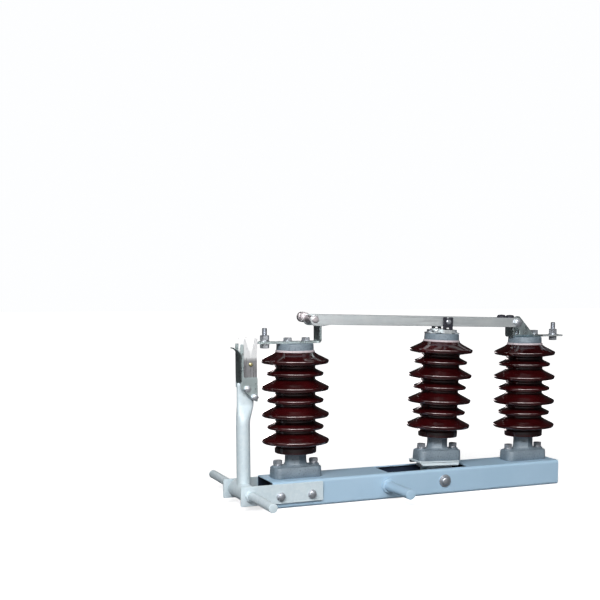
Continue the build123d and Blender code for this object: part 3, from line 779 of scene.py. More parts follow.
def studShape(level, thickness, across=19.0, radius=6.0, reach=35.0):
    # a bolt standing on its head, with a washer and a nut on the bar
    upper = level + thickness
    return together(
        hexHead(across, level - 10.0, level, True), threadedRod(radius, level - 2.0, level + reach),
        disc(12.0, upper, upper + 1.6), springWasher(6.4, 9.8, upper + 1.6, 1.6, 0.4),
        hexHead(across, upper + 3.4, upper + 14.0, True))


makePiece("leftContactStrip", contactBarShape(leftContact), "zinc_plate", "base", "left_contact_bar",
          rounding=0.6)
leftBarTop = leftContact["level"] + leftContact["thickness"]
leftBolts = capBoltShape(leftContact["boltX"], leftBarTop, leftContact["boltAcross"],
                         leftContact["boltHeight"])
makePiece("leftCapBolts", leftBolts, "zinc_bolt", "base", "left_contact_bolts")
leftStud = moved(studShape(leftContact["level"], leftContact["thickness"]), (leftContact["studX"], 0, 0))
makePiece("leftStud", leftStud, "zinc_bolt", "base", "left_terminal_stud")

hinge = {
    "x": 267.0, "z": 404.8, "level": 369.0, "outer": 19.0, "wall": 4.5, "left": 257.0, "top": 421.0,
    "bend": 6.0,
    "lugEnd": 316, "floorEnd": 346, "pinHole": 6.0, "webLow": 374.0, "webHigh": 394.0, "webWall": 4.0,
    "boltX": (279.0, 330.0), "boltSeat": 374.0, "pinAcross": 17.0, "pinRadius": 6.0,
}


def hingeBracketShape(look):
    # one sheet folded up on both sides: x runs along the base, s across it from lug to lug
    bendLength = 0.5 * math.pi * look["bend"]
    rise, across = look["top"] - look["level"] - look["bend"], 2 * (look["outer"] - look["bend"])
    stretches = [(rise, 0), (bendLength, 90), (across, 0), (bendLength, 90), (rise, 0)]
    line = foldLine((-look["outer"], look["top"]), -90, stretches)
    middle = rise + bendLength + 0.5 * across
    foldTop, right = look["level"] + look["bend"], look["lugEnd"]
    lugCorners = [(right, foldTop), (right, 377), (307, 386), (276, 420), (268, 421), (261, 417), (257, 409),
                  (257, foldTop)]
    lug = softened(lugCorners, (0, 2, 6, 8, 6, 5, 5, 0), 5)

    def flatRow(points, side):
        away = 0.5 * across + bendLength + (points[:, 1] - look["level"] - look["bend"])
        return np.stack([points[:, 0], middle + side * away], -1)
    start = 0.5 * across + bendLength
    edge = 0.5 * across + 5.5
    floorPart = [(right, middle - start + 6), (322, middle - edge), (look["floorEnd"], middle - edge),
                 (look["floorEnd"], middle + edge), (322, middle + edge), (right, middle + start - 6)]
    outline = np.concatenate([flatRow(lug[::-1], -1), floorPart, flatRow(lug, 1)])
    window = softened([(262.5, 376), (275.5, 376), (275.5, 386), (270, 392.5), (262.5, 392.5)], 1.6, 3, True)
    pin = loopOfCircle(look["x"], look["z"], look["pinHole"])
    holes = [flatRow(loop, side) for loop in (window, pin) for side in (-1, 1)]

    def bend(points, depth):
        place, normal = line(points[:, 1])
        flat = place + normal * depth
        return np.stack([points[:, 0], flat[:, 0], flat[:, 1]], -1)
    webCorners = [(-look["outer"], look["webLow"]), (look["outer"], look["webLow"]),
                  (look["outer"], look["webHigh"]), (-look["outer"], look["webHigh"])]
    web = sheetShape(softened(webCorners, (0, 0, 1.5, 1.5), 3, True), [], flatAt("yz", look["left"]),
                     look["webWall"])
    return together(sheetShape(outline, holes, bend, look["wall"], creaseLines(stretches, 250, 350)), web)


makePiece("hingeLugs", hingeBracketShape(hinge), "zinc_plate", "base", "hinge_bracket", rounding=0.6)
bracketBolt = together(disc(10.5, 0, 1.6), springWasher(6.4, 9.8, 1.6, 1.6, 0.4), hexHead(19.0, 3.4, 11.0))
bracketBolts = [moved(bracketBolt, (x, 0, hinge["boltSeat"])) for x in hinge["boltX"]]
makePiece("bracketBolts", together(*bracketBolts), "zinc_bolt", "base", "hinge_bracket_bolts")

rightBar = {"left": 346, "right": 408, "half": 15, "thickness": 4.0, "studX": 386.0, "studHole": 6.2}
barOutline = softened(oblong(rightBar["left"], rightBar["right"], rightBar["half"]), (0, 5, 5, 0), 5, True)
barHole = loopOfCircle(rightBar["studX"], 0, rightBar["studHole"])
barShape = sheetShape(barOutline, [barHole], flatAt("xy", hinge["level"]), rightBar["thickness"])
makePiece("rightBar", barShape, "tinned_copper", "base", "right_terminal_bar", rounding=0.6)
rightStud = moved(studShape(hinge["level"], rightBar["thickness"]), (rightBar["studX"], 0, 0))
makePiece("rightStud", rightStud, "zinc_bolt", "base", "right_terminal_stud")

pinHead = together(disc(8.6, 25.0, 26.4), hexHead(hinge["pinAcross"], 26.4, 31.5))
hingePinShape = together(
    acrossPin(pinHead, hinge["x"], hinge["z"], -1), acrossPin(pinHead, hinge["x"], hinge["z"], 1),
    acrossPin(plainRod(hinge["pinRadius"], 26, 0.6), hinge["x"], hinge["z"], -1))
makePiece("hingePinBolt", hingePinShape, "zinc_bolt", "base", "hinge_pin")
print("contacts made")

# The blade's pieces follow a line that rises slowly from the hinge towards the contact end.
blade = {
    "end": -275, "slope": 0.024, "height": 23.0, "inner": 20.0, "thickness": 4.5, "tipDrop": 3.0,
    "deepEnd": -243,
    "deepStart": -229, "hingeEnd": 278.5, "pinHole": 6.05,
    "housingX": -268.0, "housingRise": 3.5, "spacerX": -266.0, "tipHeadX": -264.0,
    "blockX": 244.0, "blockLow": 7.0, "blockHigh": 11.5, "domes": ((234.5, 0.0), (259.0, 1.0)),
}


def bladeLine(x):
    return hinge["z"] + blade["slope"] * (hinge["x"] - x)


def bladeBarShape(side):
    # the outline runs round the deeper contact end and the half round at the hinge, along the sloping line
    half, left, right = 0.5 * blade["height"], blade["end"], blade["hingeEnd"]
    deep = -half - blade["tipDrop"]
    corners = [(left, deep), (blade["deepEnd"], deep), (blade["deepStart"], -half), (right, -half),
               (right, half), (left, half)]
    outline = softened(corners, (12.5, 6.0, 6.0, 11.4, 11.4, 12.5), 12, True)
    outline[:, 1] += bladeLine(outline[:, 0])
    pins = ((hinge["x"], hinge["z"]), (lifting["linkX"], lifting["linkZ"]))
    holes = [loopOfCircle(x, z, blade["pinHole"]) for x, z in pins]
    return sheetShape(outline, holes, flatAt("xz", side * blade["inner"], side), blade["thickness"])


for pieceName, side, node in (("bladeFront", -1, "blade_front_bar"), ("bladeRear", 1, "blade_rear_bar")):
    makePiece(pieceName, bladeBarShape(side), "tinned_copper", "blade", node, rounding=0.9, roundSteps=3)

# the housing steps in behind its flange, where two turns of its spring show, and steps in again at its end
housingCorners = [
    (11.0, 24.5), (11.0, 27.0), (9.4, 27.6), (9.4, 38.0), (11.0, 38.6), (11.0, 40.6), (12.0, 41.2),
    (12.0, 53.6),
    (10.8, 54.4), (8.8, 54.6), (8.8, 59.6), (6.5, 60.5)]
housing = together(
    spun(housingCorners, (0.6, 0.3, 0.3, 0.4, 0.4, 0.3, 0.6, 1.2, 0.3, 0.3, 0.9, 0.9), 4, 72),
    springWasher(9.2, 11.2, 28.0, 1.8, 3.0), springWasher(9.2, 11.2, 32.4, 1.8, 3.0))
housingZ = bladeLine(blade["housingX"]) + blade["housingRise"]
makePiece("springHousing", acrossPin(housing, blade["housingX"], housingZ, 1), "dark_chrome", "blade",
          "blade_spring_housing")
spacerCorners = [(9.5, -20), (9.5, -16), (8.6, -15), (8.6, 15), (9.5, 16), (9.5, 20)]
tipSpacer = spun(spacerCorners, (0.3, 0.6, 0.6, 0.6, 0.6, 0.3), 3, 48)
tipHead = spun([(8.0, 24.5), (8.0, 26.2), (5.6, 27.5)], (0, 1.2, 2.4), 5, 48)
tipZ = bladeLine(blade["spacerX"])
tipPieces = together(acrossPin(tipSpacer, blade["spacerX"], tipZ, 1),
                     acrossPin(tipHead, blade["tipHeadX"], tipZ, -1))
makePiece("tipSpacer", tipPieces, "dark_chrome", "blade", "blade_tip_spacer")

# a block between the bars has a tongue towards the hinge, and black domed screws stand on it
blockLow = bladeLine(blade["blockX"]) - blade["blockLow"]
blockHigh = bladeLine(blade["blockX"]) + blade["blockHigh"]
blockOutline = [(224, -20), (247, -20), (247, -13.5), (259.5, -13.5), (259.5, 13.5), (247, 13.5), (247, 20),
                (224, 20)]
blockShape = sheetShape(blockOutline, [], flatAt("xy", blockLow), blockHigh - 1 - blockLow)
makePiece("bladeSpacer", blockShape, "tinned_copper", "blade", "blade_spacer_block", rounding=0.8)
dome = spun([(11, -3.0), (11, 2.6), (8.6, 6.6)], (0, 2.2, 3.0), 6, 56, 7.5)
domes = [moved(dome, (x, 0, blockHigh - drop)) for x, drop in blade["domes"]]
makePiece("clampDomes", together(*domes), "black_iron", "blade", "blade_clamp_bolts")
print("blade made")

# Heights of the link and the saddle are measured along the leaning post, from the crank pin.
link = {
    "capTop": 360.5, "tabTop": linkLength - 19.0, "plateWall": 3.0, "plate": (41, 18.5), "tab": (12, 32),
    "boltX": 33.5, "boltAcross": 13.0, "boltHeight": 6.5, "pinHole": 6.0, "yokeInner": 26.0, "yokeWall": 6.0,
    "headRadius": 6.6,
}
capTop = link["capTop"]
lugCorners = [(-26, capTop), (-26, 367), (-21, 372), (21, 372), (26, 367), (26, capTop)]
lugSection = softened(lugCorners, (0, 2, 3, 3, 2, 0), 4, True)
lugPieces = together(
    sheetShape(softened(centred(*link["plate"]), 7.0, 5, True), [], flatAt("xy", capTop), link["plateWall"]),
    sheetShape(lugSection, [], flatAt("xz", -18.5), 37.0),
    sheetShape(softened(centred(*link["tab"]), 1.5, 3, True), [], flatAt("xy", capTop),
               link["tabTop"] - capTop))
makePiece("lugPlate", leaning(lugPieces), "tinned_copper", "lifting_insulator", "middle_lug_plate",
          rounding=0.7)
lugBolts = capBoltShape((-link["boltX"], link["boltX"]), capTop + link["plateWall"], link["boltAcross"],
                        link["boltHeight"])
makePiece("lugBolts", leaning(lugBolts), "zinc_bolt", "lifting_insulator", "middle_lug_bolts")


def yokeShape(look):
    # an H outline: two posts joined across the pin, notched above and below
    top, low = linkLength + 11.0, look["tabTop"]
    under, over = linkLength - 14, linkLength + 8
    corners = [(-12, low), (-4.5, low), (-4.5, under), (4.5, under), (4.5, low), (12, low), (12, top),
               (4.5, top),
               (4.5, over), (-4.5, over), (-4.5, top), (-12, top)]
    outline, hole = softened(corners, 1.0, 3, True), loopOfCircle(0, linkLength, look["pinHole"])
    ears = [sheetShape(outline, [hole], flatAt("xz", side * look["yokeInner"], side),
                       look["yokeWall"]) for side in (-1, 1)]
    return together(*ears)


makePiece("linkYoke", leaning(yokeShape(link)), "black_iron", "lifting_insulator", "link_yoke", rounding=0.5)
linkHead = spun([(link["headRadius"], 31), (link["headRadius"], 33.6), (4.6, 35.5)], (0, 1.4, 1.2), 5, 48)
linkPinShape = together(
    acrossPin(linkHead, 0, linkLength, -1), acrossPin(linkHead, 0, linkLength, 1),
    acrossPin(plainRod(6.0, 32, 0.5), 0, linkLength, -1))
makePiece("linkPin", leaning(linkPinShape), "zinc_bolt", "lifting_insulator", "link_pin")

saddle = {
    "left": -60, "right": 47, "inset": 6, "flatHalf": 30.0, "flankDrop": 8.5, "flankReach": 8.0,
    "bendLength": 6.0,
    "wall": 4.0, "top": 56.0, "earInner": 16.0, "earWall": 6.0, "slotHalf": (24.5, 9.5),
}


def saddleShape(look):
    # the flat top and its sloping flanks are one folded sheet; two slotted ears hang under it
    drop, out, bendLength = look["flankDrop"], look["flankReach"], look["bendLength"]
    slope = math.degrees(math.atan2(drop, out))
    reach, flatWidth = math.hypot(drop, out) - 0.5 * bendLength, 2 * look["flatHalf"] - bendLength
    stretches = [(reach, 0), (bendLength, -slope), (flatWidth, 0), (bendLength, -slope), (reach, 0)]
    total = sum(length for length, _ in stretches)
    line = foldLine((0.0, 0.0), slope, stretches)
    (topPlace,), _ = line(np.array([0.5 * total]))

    def bend(points, depth):
        place, normal = line(points[:, 1])
        flat = place - normal * depth - np.array([topPlace[0], topPlace[1] - look["top"]])
        return np.stack([points[:, 0], flat[:, 0], flat[:, 1]], -1)
    flank, left, right, inset = reach + 0.5 * bendLength, look["left"], look["right"], look["inset"]
    corners = [(left + inset, 0), (right - inset, 0), (right, flank), (right, total - flank),
               (right - inset, total), (left + inset, total), (left, total - flank), (left, flank)]
    outline = softened(corners, (2, 2, 4, 4, 2, 2, 4, 4), 4, True)
    holes = [loopOfCircle(x, 0.5 * total, foot["boltHole"]) for x in (-foot["boltX"], foot["boltX"])]
    top = sheetShape(outline, holes, bend, look["wall"], creaseLines(stretches, left - 10, right + 13, 5))
    slot = softened(centred(*look["slotHalf"]), 9.4, 10, True)
    ear = softened([(-32, 52.5), (-32, -17), (32, -17), (32, 52.5)], (0, 6, 6, 0), 5, True)
    ears = [sheetShape(ear, [slot], flatAt("xz", side * look["earInner"], side),
                       look["earWall"]) for side in (-1, 1)]
    return together(top, *ears)


makePiece("saddle", leaning(saddleShape(saddle)), "galvanised_steel", "lifting_insulator", "saddle_plate",
          rounding=0.6)
print("link and saddle made")

drive = {
    "x": -94.7, "z": 32.0, "bore": 14.0, "crankInner": 28.0, "crankWall": 6.0, "hubRadius": 19.0,
    "tipRadius": 11.0,
    "hubHole": 12.0, "tipHole": 6.0, "stopX": 53.8, "stopZ": 32.4, "stopHole": 6.5,
}
earth = {
    "x": -428.0, "z": 36.0, "frontLeft": -451.0, "rearLeft": -457.0, "right": -259.0, "low": 12.5,
    "high": 56.0,
    "front": -205.0, "rear": 240.0, "shaftHole": 10.55, "boltHole": 5.5,
    "boltPlaces": ((-359.5, 28.5), (-286.0, 29.0)),
}
channel = {
    "length": 753.0, "width": 106.0, "height": 61.0, "wall": 4.0, "bend": 7.0, "mouth": 29.0,
    "slotLeft": -90.0, "slotRight": 125.0, "slotHalf": 43.0, "mountX": 330.0, "mountY": 39.0,
    "mountHole": 7.0,
    "tieLeft": -30, "tieRight": 10,
}


def channelShape(look):
    # the section is one line folded four times; x runs along the base and s round the section,
    # from zero at the middle of the top
    bendLength = 0.5 * math.pi * look["bend"]
    lip = 0.5 * look["width"] - look["bend"] - look["mouth"]
    web = look["height"] - 2 * look["bend"]
    top = look["width"] - 2 * look["bend"]
    fold = (bendLength, -90)
    stretches = [(lip, 0), fold, (web, 0), fold, (top, 0), fold, (web, 0), fold, (lip, 0)]
    total = sum(length for length, _ in stretches)
    line = foldLine((-look["mouth"], 0.0), 180, stretches)
    halfLength = 0.5 * look["length"]

    def bend(points, depth):
        place, normal = line(points[:, 1] + 0.5 * total)
        flat = place - normal * depth
        return np.stack([points[:, 0], flat[:, 0], flat[:, 1]], -1)

    def onWeb(z):
        return 0.5 * top + bendLength + (look["height"] - look["bend"] - z)
    holes = [softened(oblong(look["slotLeft"], look["slotRight"], look["slotHalf"]), 2.0, 3, True)]
    for x in (-postX, postX):
        holes += [loopOfCircle(x + dx, 0, foot["boltHole"]) for dx in (-foot["boltX"], foot["boltX"])]
    mounting = 0.5 * total - (look["mountY"] - look["mouth"])
    for side in (-1, 1):
        holes += [loopOfCircle(x, side * mounting, look["mountHole"]) for x in (-look["mountX"],
            look["mountX"])]
        holes.append(loopOfCircle(drive["x"], side * onWeb(drive["z"]), drive["bore"], 56))
        holes += [loopOfCircle(x, side * onWeb(z), earth["boltHole"], 32) for x, z in earth["boltPlaces"]]
    holes.append(loopOfCircle(drive["stopX"], -onWeb(drive["stopZ"]), drive["stopHole"], 32))
    creases = creaseLines(stretches, -halfLength - 5, halfLength + 5, 9, -0.5 * total)
    body = sheetShape(centred(halfLength, 0.5 * total), holes, bend, look["wall"], creases, 12.0)
    tieOutline = oblong(look["tieLeft"], look["tieRight"], look["mouth"])
    return together(body, sheetShape(tieOutline, [], flatAt("xy", 0.0), look["wall"]))


makePiece("baseChannel", channelShape(channel), "channel_paint", "base", "base_channel", rounding=0.6)
print("channel made")

shaftCorners = [(12.0, -64.5), (12.0, 59.5), (11.5, 60.0), (11.5, 172.0)]
driveShape = acrossPin(spun(shaftCorners, (1.0, 0.3, 0.3, 1.2), 4, 72), drive["x"], drive["z"], -1)
makePiece("driveShaft", driveShape, "channel_paint", "drive", "drive_shaft")
ringLine = softened([(12.05, 53.0), (17.0, 53.0), (17.0, 59.5), (12.05, 59.5)], (0.3, 0.3, 1.4, 0.3), 4, True)
bearings = together(*[acrossPin(turnedRing(ringLine), drive["x"], drive["z"], side) for side in (-1, 1)])
makePiece("driveBearings", bearings, "channel_paint", "base", "drive_shaft_bearings")


def crankShape(look):
    # two arms with round hubs, drawn along the line from the shaft to the crank pin
    run, rise = lifting["crankX"] - look["x"], lifting["crankZ"] - look["z"]
    length, angle = math.hypot(run, rise), math.atan2(rise, run)
    big, small = np.radians(np.linspace(28.3, 331.7, 40)), np.radians(np.linspace(-125.1, 125.1, 24))
    hub, tip = look["hubRadius"], look["tipRadius"]
    outline = np.concatenate([
        np.stack([hub * np.cos(big), hub * np.sin(big)], -1),
        np.stack([length + tip * np.cos(small), tip * np.sin(small)], -1)])
    holes = [loopOfCircle(0, 0, look["hubHole"]), loopOfCircle(length, 0, look["tipHole"])]
    turnFlat = np.array([[math.cos(angle), -math.sin(angle)], [math.sin(angle), math.cos(angle)]])
    outline, holes = outline @ turnFlat.T, [hole @ turnFlat.T for hole in holes]
    arms = [sheetShape(outline, holes, flatAt("xz", side * look["crankInner"], side),
                       look["crankWall"]) for side in (-1, 1)]
    return moved(together(*arms), (look["x"], 0, look["z"]))


makePiece("liftingCranks", crankShape(drive), "galvanised_steel", "drive", "lifting_cranks", rounding=0.5)
crankPin = acrossPin(plainRod(6.0, 37, 0.8), lifting["crankX"], lifting["crankZ"], -1)
makePiece("crankPin", crankPin, "zinc_bolt", "drive", "crank_pin")
stopShape = together(
    spun([(10.5, 55.5), (10.5, 57.5), (8.0, 61.2)], (0, 2.5, 3.5), 6, 56, 62.0),
    disc(15.0, 53.0, 55.5, 0.7, 56),
    threadedRod(6.0, 37.0, 54.0), hexHead(19.0, 41.0, 49.0, True))
makePiece("stopBolt", acrossPin(stopShape, drive["stopX"], drive["stopZ"], -1), "zinc_bolt", "base",
          "stop_bolt")
print("drive made")

plateHoles = [loopOfCircle(earth["x"], earth["z"], earth["shaftHole"])]
plateHoles += [loopOfCircle(x, z, earth["boltHole"], 32) for x, z in earth["boltPlaces"]]
plates = (("frontPlate", -1, earth["frontLeft"], "earth_front_bracket"),
          ("rearPlate", 1, earth["rearLeft"], "earth_rear_bracket"))
for pieceName, side, left, node in plates:
    corners = [(left, earth["low"]), (earth["right"], earth["low"]), (earth["right"], earth["high"]),
               (left, earth["high"])]
    plate = sheetShape(softened(corners, 2.5, 4, True), plateHoles, flatAt("xz", side * 53.0, side), 5.0)
    makePiece(pieceName, plate, "galvanised_steel", "base", node, rounding=0.6)
plateBolt = together(
    disc(10.0, 58.0, 59.8), hexHead(15.0, 59.8, 66.0), threadedRod(5.0, 40.0, 59.0, 1.5),
    hexHead(15.0, 42.0, 49.0, True))
plateBolts = [acrossPin(plateBolt, x, z, side) for x, z in earth["boltPlaces"] for side in (-1, 1)]
makePiece("plateBolts", together(*plateBolts), "zinc_bolt", "base", "earth_bracket_bolts")
crossCorners = [(10.0, -earth["rear"]), (10.0, -64), (10.5, -63.5), (10.5, 63.5), (10.0, 64),
                (10.0, -earth["front"])]
crossShaft = spun(crossCorners, (1.4, 0.2, 0.2, 0.2, 0.2, 1.4), 4, 64)
makePiece("crossShaft", acrossPin(crossShaft, earth["x"], earth["z"], -1), "galvanised_steel",
          "earthing_blade", "earth_shaft")
collarLine = softened([(10.5, 59.0), (14.0, 59.0), (14.0, 64.0), (10.5, 64.0)], (0.2, 0.8, 1.4, 0.2), 4, True)
collar = together(turnedRing(collarLine, 64), moved(weldBead(11.2, 1.6), (0, 0, 64.2)))
collars = [acrossPin(collar, earth["x"], earth["z"], side) for side in (-1, 1)]
makePiece("shaftCollars", together(*collars), "galvanised_steel", "earthing_blade", "earth_shaft_collars")

tube = {
    "low": 36, "taperFrom": 188.0, "taperOver": 48.0, "top": 279.0, "radius": 15.5, "flatHalf": 19.0,
    "flatThin": 7.0,
    "shift": 1.5, "flatShift": 7.0, "hubRadius": 20, "hubHalf": 48,
}


def tubeShape(look):
    # round rings rise from the hub, turn into flat rounded oblongs where the tube is pressed flat, and stay
    # so
    # to the top: x = centre + half width * |cos a|^(2/n), y = half thickness * |sin a|^(2/n), with their
    # signs
    angle = np.arange(72) * 2 * math.pi / 72
    heights = np.concatenate([
        np.linspace(look["low"], 188, 20), np.linspace(190, 240, 22), np.linspace(243, 278, 8),
        [look["top"]]])
    share = np.clip((heights - look["taperFrom"]) / look["taperOver"], 0, 1)
    share = share * share * (3 - 2 * share)
    wide = look["radius"] + (look["flatHalf"] - look["radius"]) * share
    thick = look["radius"] + (look["flatThin"] - look["radius"]) * share
    centre = (earth["x"] + look["shift"] + (look["flatShift"] - look["shift"]) * share)[:, None]
    wide[-1] -= 0.8
    thick[-1] -= 0.8
    power = (2.0 / (2.0 + 1.2 * share))[:, None]

    def swelled(value):
        return np.sign(value) * np.abs(value) ** power
    cosines, sines = (np.broadcast_to(wave(angle), (len(heights), 72)) for wave in (np.cos, np.sin))
    points = np.stack([
        centre + wide[:, None] * swelled(cosines), thick[:, None] * swelled(sines),
        np.broadcast_to(heights[:, None], cosines.shape)], -1)
    hub = plainRod(look["hubRadius"], look["hubHalf"], 1.5, 5, 80)
    return together(gridShape(points), acrossPin(hub, earth["x"], earth["z"], 1))


makePiece("bladeTube", tubeShape(tube), "galvanised_steel", "earthing_blade", "earth_blade_tube", sharp=50.0)
fork = {
    "left": -436.5, "right": -398, "inner": 15.3, "finger": 2.0, "leg": 2.2, "web": 2.5, "low": 238,
    "webLow": 281,
    "webHigh": 345, "legHigh": 365, "fingerHigh": 378, "notch": 330, "boltHole": 4.5,
    "bolts": ((-404.8, 247.8), (-421.6, 266.6)), "rivet": (-412.5, 320.0), "lipHalf": 14,
}
forkHoles = [loopOfCircle(x, z, fork["boltHole"], 28) for x, z in fork["bolts"]]


def forkClipShape(look):
    # web, guide lip and two legs; the legs are narrow strips above and wide cheeks below
    legIn, legOut = look["inner"] + look["finger"], look["inner"] + look["finger"] + look["leg"]
    left, right, low, high = look["left"], look["right"], look["low"], look["legHigh"]
    legCorners = [(left, 269), (right - 4, low), (right, low), (right, 292), (-429.5, 292), (-429.5, high),
                  (left, high)]
    leg = softened(legCorners, (2, 2, 2, 3, 2, 2, 2), 4, True)
    legs = [sheetShape(leg, forkHoles, flatAt("xz", side * legIn, side), look["leg"]) for side in (-1, 1)]
    webCorners = [(-legOut, look["webLow"]), (legOut, look["webLow"]), (legOut, look["webHigh"]),
                  (-legOut, look["webHigh"])]
    web = sheetShape(softened(webCorners, (2, 2, 2, 2), 4, True), [], flatAt("yz", left), look["web"])
    # the lip curls outwards: x falls with t to the power 1.5, z rises with the sine of t
    t = np.linspace(0, 1, 9)
    lipX = -435.25 - 14.0 * t ** 1.5
    lipZ = 343.0 + 13.0 * np.sin(0.5 * math.pi * t)
    slopeX, slopeZ = np.gradient(lipX), np.gradient(lipZ)
    size = np.hypot(slopeX, slopeZ)
    across, away = slopeZ / size, -slopeX / size
    ring = softened(centred(look["lipHalf"], 0.5 * look["web"]), 0.6, 3, True)
    points = np.stack([
        lipX[:, None] + across[:, None] * ring[None, :, 1],
        np.broadcast_to(ring[None, :, 0], (len(t), len(ring))),
        lipZ[:, None] + away[:, None] * ring[None, :, 1]], -1)
    return together(*legs, web, gridShape(points))


def fingerShape(look):
    # two thin spring plates whose tops lean outwards; a V is cut down into the front one
    low, high, right = look["low"], look["fingerHigh"], look["right"]
    along = foldLine((0.0, float(low)), 90, [(90.0, 0), (4.0, -7.3), (46.0, 0)])
    lowCorners, leftCorner = [(-429, 262), (-402, low), (right, low), (right, high)], (-429, high)
    plain = softened([*lowCorners, leftCorner], (2, 1.5, 2, 2, 2), 4, True)
    notchCorners = [(-405, high), (-413.6, look["notch"]), (-425, high)]
    notched = softened([*lowCorners, *notchCorners, leftCorner], (2, 1.5, 2, 1.5, 1, 1.5, 1, 1), 4, True)
    creases = [[(-440, z), (-390, z)] for z in (328.0, 330.0, 332.0)]
    fingers = []
    for side, outline in ((-1, notched), (1, plain)):
        def bend(points, depth, side=side):
            place, normal = along(points[:, 1] - low)
            flat = place - normal * (depth - look["finger"])
            return np.stack([points[:, 0], side * (look["inner"] + flat[:, 0]), flat[:, 1]], -1)
        fingers.append(sheetShape(outline, forkHoles, bend, look["finger"], creases))
    return together(*fingers)


makePiece("forkClip", forkClipShape(fork), "zinc_plate", "earthing_blade", "earth_fork_clip", rounding=0.4)
makePiece("forkFingers", fingerShape(fork), "spring_steel", "earthing_blade", "earth_fork_fingers",
          rounding=0.35)
forkBolt = together(
    threadedRod(4.0, -21.5, 21.5, 1.25, 0.6), disc(7.5, 19.5, 20.5, 0.3), hexHead(13.0, 20.5, 25.0),
    disc(7.0, 7.0, 15.3))
forkBolts = [acrossPin(forkBolt, x, z, side) for x, z in fork["bolts"] for side in (-1, 1)]
makePiece("forkBolts", together(*forkBolts), "zinc_bolt", "earthing_blade", "earth_fork_bolts")
rivet = spun([(4.5, 16.5), (4.5, 18.4), (2.6, 19.8)], (0, 1.2, 1.0), 4, 32)
makePiece("forkRivets", together(*[acrossPin(rivet, *fork["rivet"], side) for side in (-1, 1)]), "brass",
          "earthing_blade")
print("earthing switch made")

# The floor and the backdrop glow for the camera alone, so that they don't wash out the object.
studio = {
    "floorColour": (0.84, 0.85, 0.86), "bounceColour": (0.17, 0.18, 0.19),
    "mirrorColour": (0.045, 0.05, 0.055),
    "nearGlow": 0.72, "farGlow": 1.05, "glowFrom": 1.2, "glowTo": 5.0, "floorHalf": 14.0, "floorGap": 0.0003,
    "roomColour": (0.985, 0.992, 1.0), "roomFront": 0.16, "roomBack": 0.07, "overhead": 0.2, "mirrored": 0.4,
    "backdrop": 1.0,
}
floorFinish, floorTree, floorShader = startFinish("paleFloor", 0.0, Roughness=0.7)
floorPlace = addNode(floorTree, "ShaderNodeTexCoord").outputs["Object"]
shadedFloor = tuple(0.985 * c for c in studio["floorColour"])
floorTone = blendColours(floorTree, grain(floorTree, floorPlace, 3.0), studio["floorColour"], shadedFloor)
reach = addNode(floorTree, "ShaderNodeVectorMath", {"Vector": floorPlace},
                operation="LENGTH").outputs["Value"]
glow = spread(floorTree, reach, studio["glowFrom"], studio["glowTo"], studio["nearGlow"], studio["farGlow"])
floorRays = addNode(floorTree, "ShaderNodeLightPath").outputs
seenDirectly = floorRays["Is Camera Ray"]
unseenTone = blendColours(floorTree, floorRays["Is Glossy Ray"], studio["bounceColour"],
                          studio["mirrorColour"])
floorTone = blendColours(floorTree, seenDirectly, unseenTone, floorTone)
glow = addNode(floorTree, "ShaderNodeMath", {0: glow, 1: seenDirectly}, operation="MULTIPLY").outputs["Value"]
floorTree.links.new(floorTone, floorShader.inputs["Base Color"])
floorShader.inputs["Emission Color"].default_value = (1.0, 1.0, 1.0, 1.0)
floorTree.links.new(glow, floorShader.inputs["Emission Strength"])
half = studio["floorHalf"]
floorMesh = bpy.data.meshes.new("floor")
floorMesh.from_pydata([(x, y, 0.0) for x, y in centred(half, half)], [], [(0, 1, 2, 3)])
floorMesh.materials.append(floorFinish)
floor = bpy.data.objects.new("floor", floorMesh)
floor.location.z = cadLow.z - studio["floorGap"]
bpy.context.scene.collection.objects.link(floor)

world = bpy.data.worlds.new("studio")
bpy.context.scene.world = world
world.use_nodes = True
sky = world.node_tree
direction = addNode(sky, "ShaderNodeTexCoord").outputs["Generated"]
# the room is brighter in front than behind, and brighter low down than overhead
parts = addNode(sky, "ShaderNodeSeparateXYZ", {"Vector": direction}).outputs
frontLevel = spread(sky, parts["Y"], -0.9, 0.3, studio["roomFront"], studio["roomBack"])
heightLevel = spread(sky, parts["Z"], 0.1, 0.8, 1.0, studio["overhead"])
level = addNode(sky, "ShaderNodeMath", {0: frontLevel, 1: heightLevel}, operation="MULTIPLY").outputs["Value"]
rays = addNode(sky, "ShaderNodeLightPath").outputs
mirrored = spread(sky, rays["Is Glossy Ray"], 0.0, 1.0, 1.0, studio["mirrored"])
level = addNode(sky, "ShaderNodeMath", {0: level, 1: mirrored}, operation="MULTIPLY").outputs["Value"]
seen = addNode(sky, "ShaderNodeMix", {0: rays["Is Camera Ray"], 2: level, 3: studio["backdrop"]},
               data_type="FLOAT").outputs["Result"]
sky.nodes["Background"].inputs["Color"].default_value = (*studio["roomColour"], 1.0)
sky.links.new(seen, sky.nodes["Background"].inputs["Strength"])

# A wide high arc of softboxes in front, dimmer towards its ends, lights the whole object.
arc = {"radius": 3.2, "height": 2.4, "width": 1.9, "tall": 0.9, "colour": (1.0, 0.99, 0.985),
       "boxes": ((-74.0, 10.0), (-39.0, 108.0), (-4.0, 50.0), (31.0, 5.0))}
# A low arc under it is seen only in reflections and brightens bare metal.
lowArc = {"radius": 3.2, "height": 0.9, "width": 1.9, "tall": 0.5, "colour": (1.0, 0.99, 0.985),
          "boxes": ((-74.0, 6.0), (-39.0, 24.0), (-4.0, 21.0), (31.0, 3.0), (180.0, 5.0))}
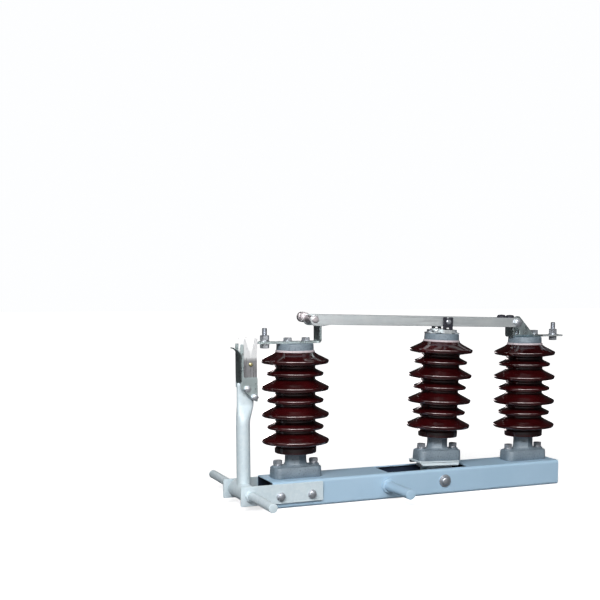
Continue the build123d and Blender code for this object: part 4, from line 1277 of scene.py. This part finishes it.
# A tall arc is seen only in the glaze, where it draws the bright line along each shed's nose.
glazeArc = {"radius": 3.0, "height": 2.9, "width": 1.8, "tall": 1.8, "colour": (1.0, 0.86, 0.86),
            "boxes": ((-74.0, 24.0), (-39.0, 80.0), (-4.0, 80.0), (31.0, 30.0))}
# One low box behind draws a line on the glaze for views from the far side.
farGlazeArc = {"radius": 3.0, "height": 0.3, "width": 1.8, "tall": 0.4, "colour": (1.0, 0.9, 0.9),
               "boxes": ((180.0, 16.0),)}
# A low fill behind lights the far side and is not seen in reflections.
backArc = {"radius": 3.2, "height": 0.8, "width": 1.9, "tall": 0.9, "colour": (1.0, 0.99, 0.985),
           "boxes": ((145.0, 14.0), (215.0, 14.0))}


def lightArc(name, look, diffuse, glossy, receivers=None):
    # each box has a heading in degrees and a power in watts, stands on a circle round the object and
    # faces its middle; given receivers, it lights only them
    for number, (heading, power) in enumerate(look["boxes"]):
        data = bpy.data.lights.new("%s%d" % (name, number), "AREA")
        data.shape = "RECTANGLE"
        data.size, data.size_y = look["width"], look["tall"]
        data.energy = power
        data.color = look["colour"]
        light = bpy.data.objects.new(data.name, data)
        turn = math.radians(heading)
        light.location = (look["radius"] * math.sin(turn), -look["radius"] * math.cos(turn), look["height"])
        aim = Vector((0.0, 0.0, 0.25)) - light.location
        light.rotation_euler = aim.to_track_quat("-Z", "Y").to_euler()
        light.visible_diffuse, light.visible_glossy = diffuse, glossy
        if receivers:
            light.light_linking.receiver_collection = receivers
        bpy.context.scene.collection.objects.link(light)


lightArc("softbox", arc, True, True)
lightArc("backBox", backArc, True, False)
glazed, bare = (bpy.data.collections.new(name) for name in ("glazed", "bare"))
for piece in bpy.context.scene.collection.objects:
    if piece.type == "MESH" and piece.data.materials:
        (glazed if piece.data.materials[0] == finishes["porcelain"] else bare).objects.link(piece)
lightArc("lowBox", lowArc, False, True, bare)
lightArc("glazeBox", glazeArc, False, True, glazed)
lightArc("farGlazeBox", farGlazeArc, False, True, glazed)
bpy.context.scene.view_settings.view_transform = "Standard"
print("studio lit")
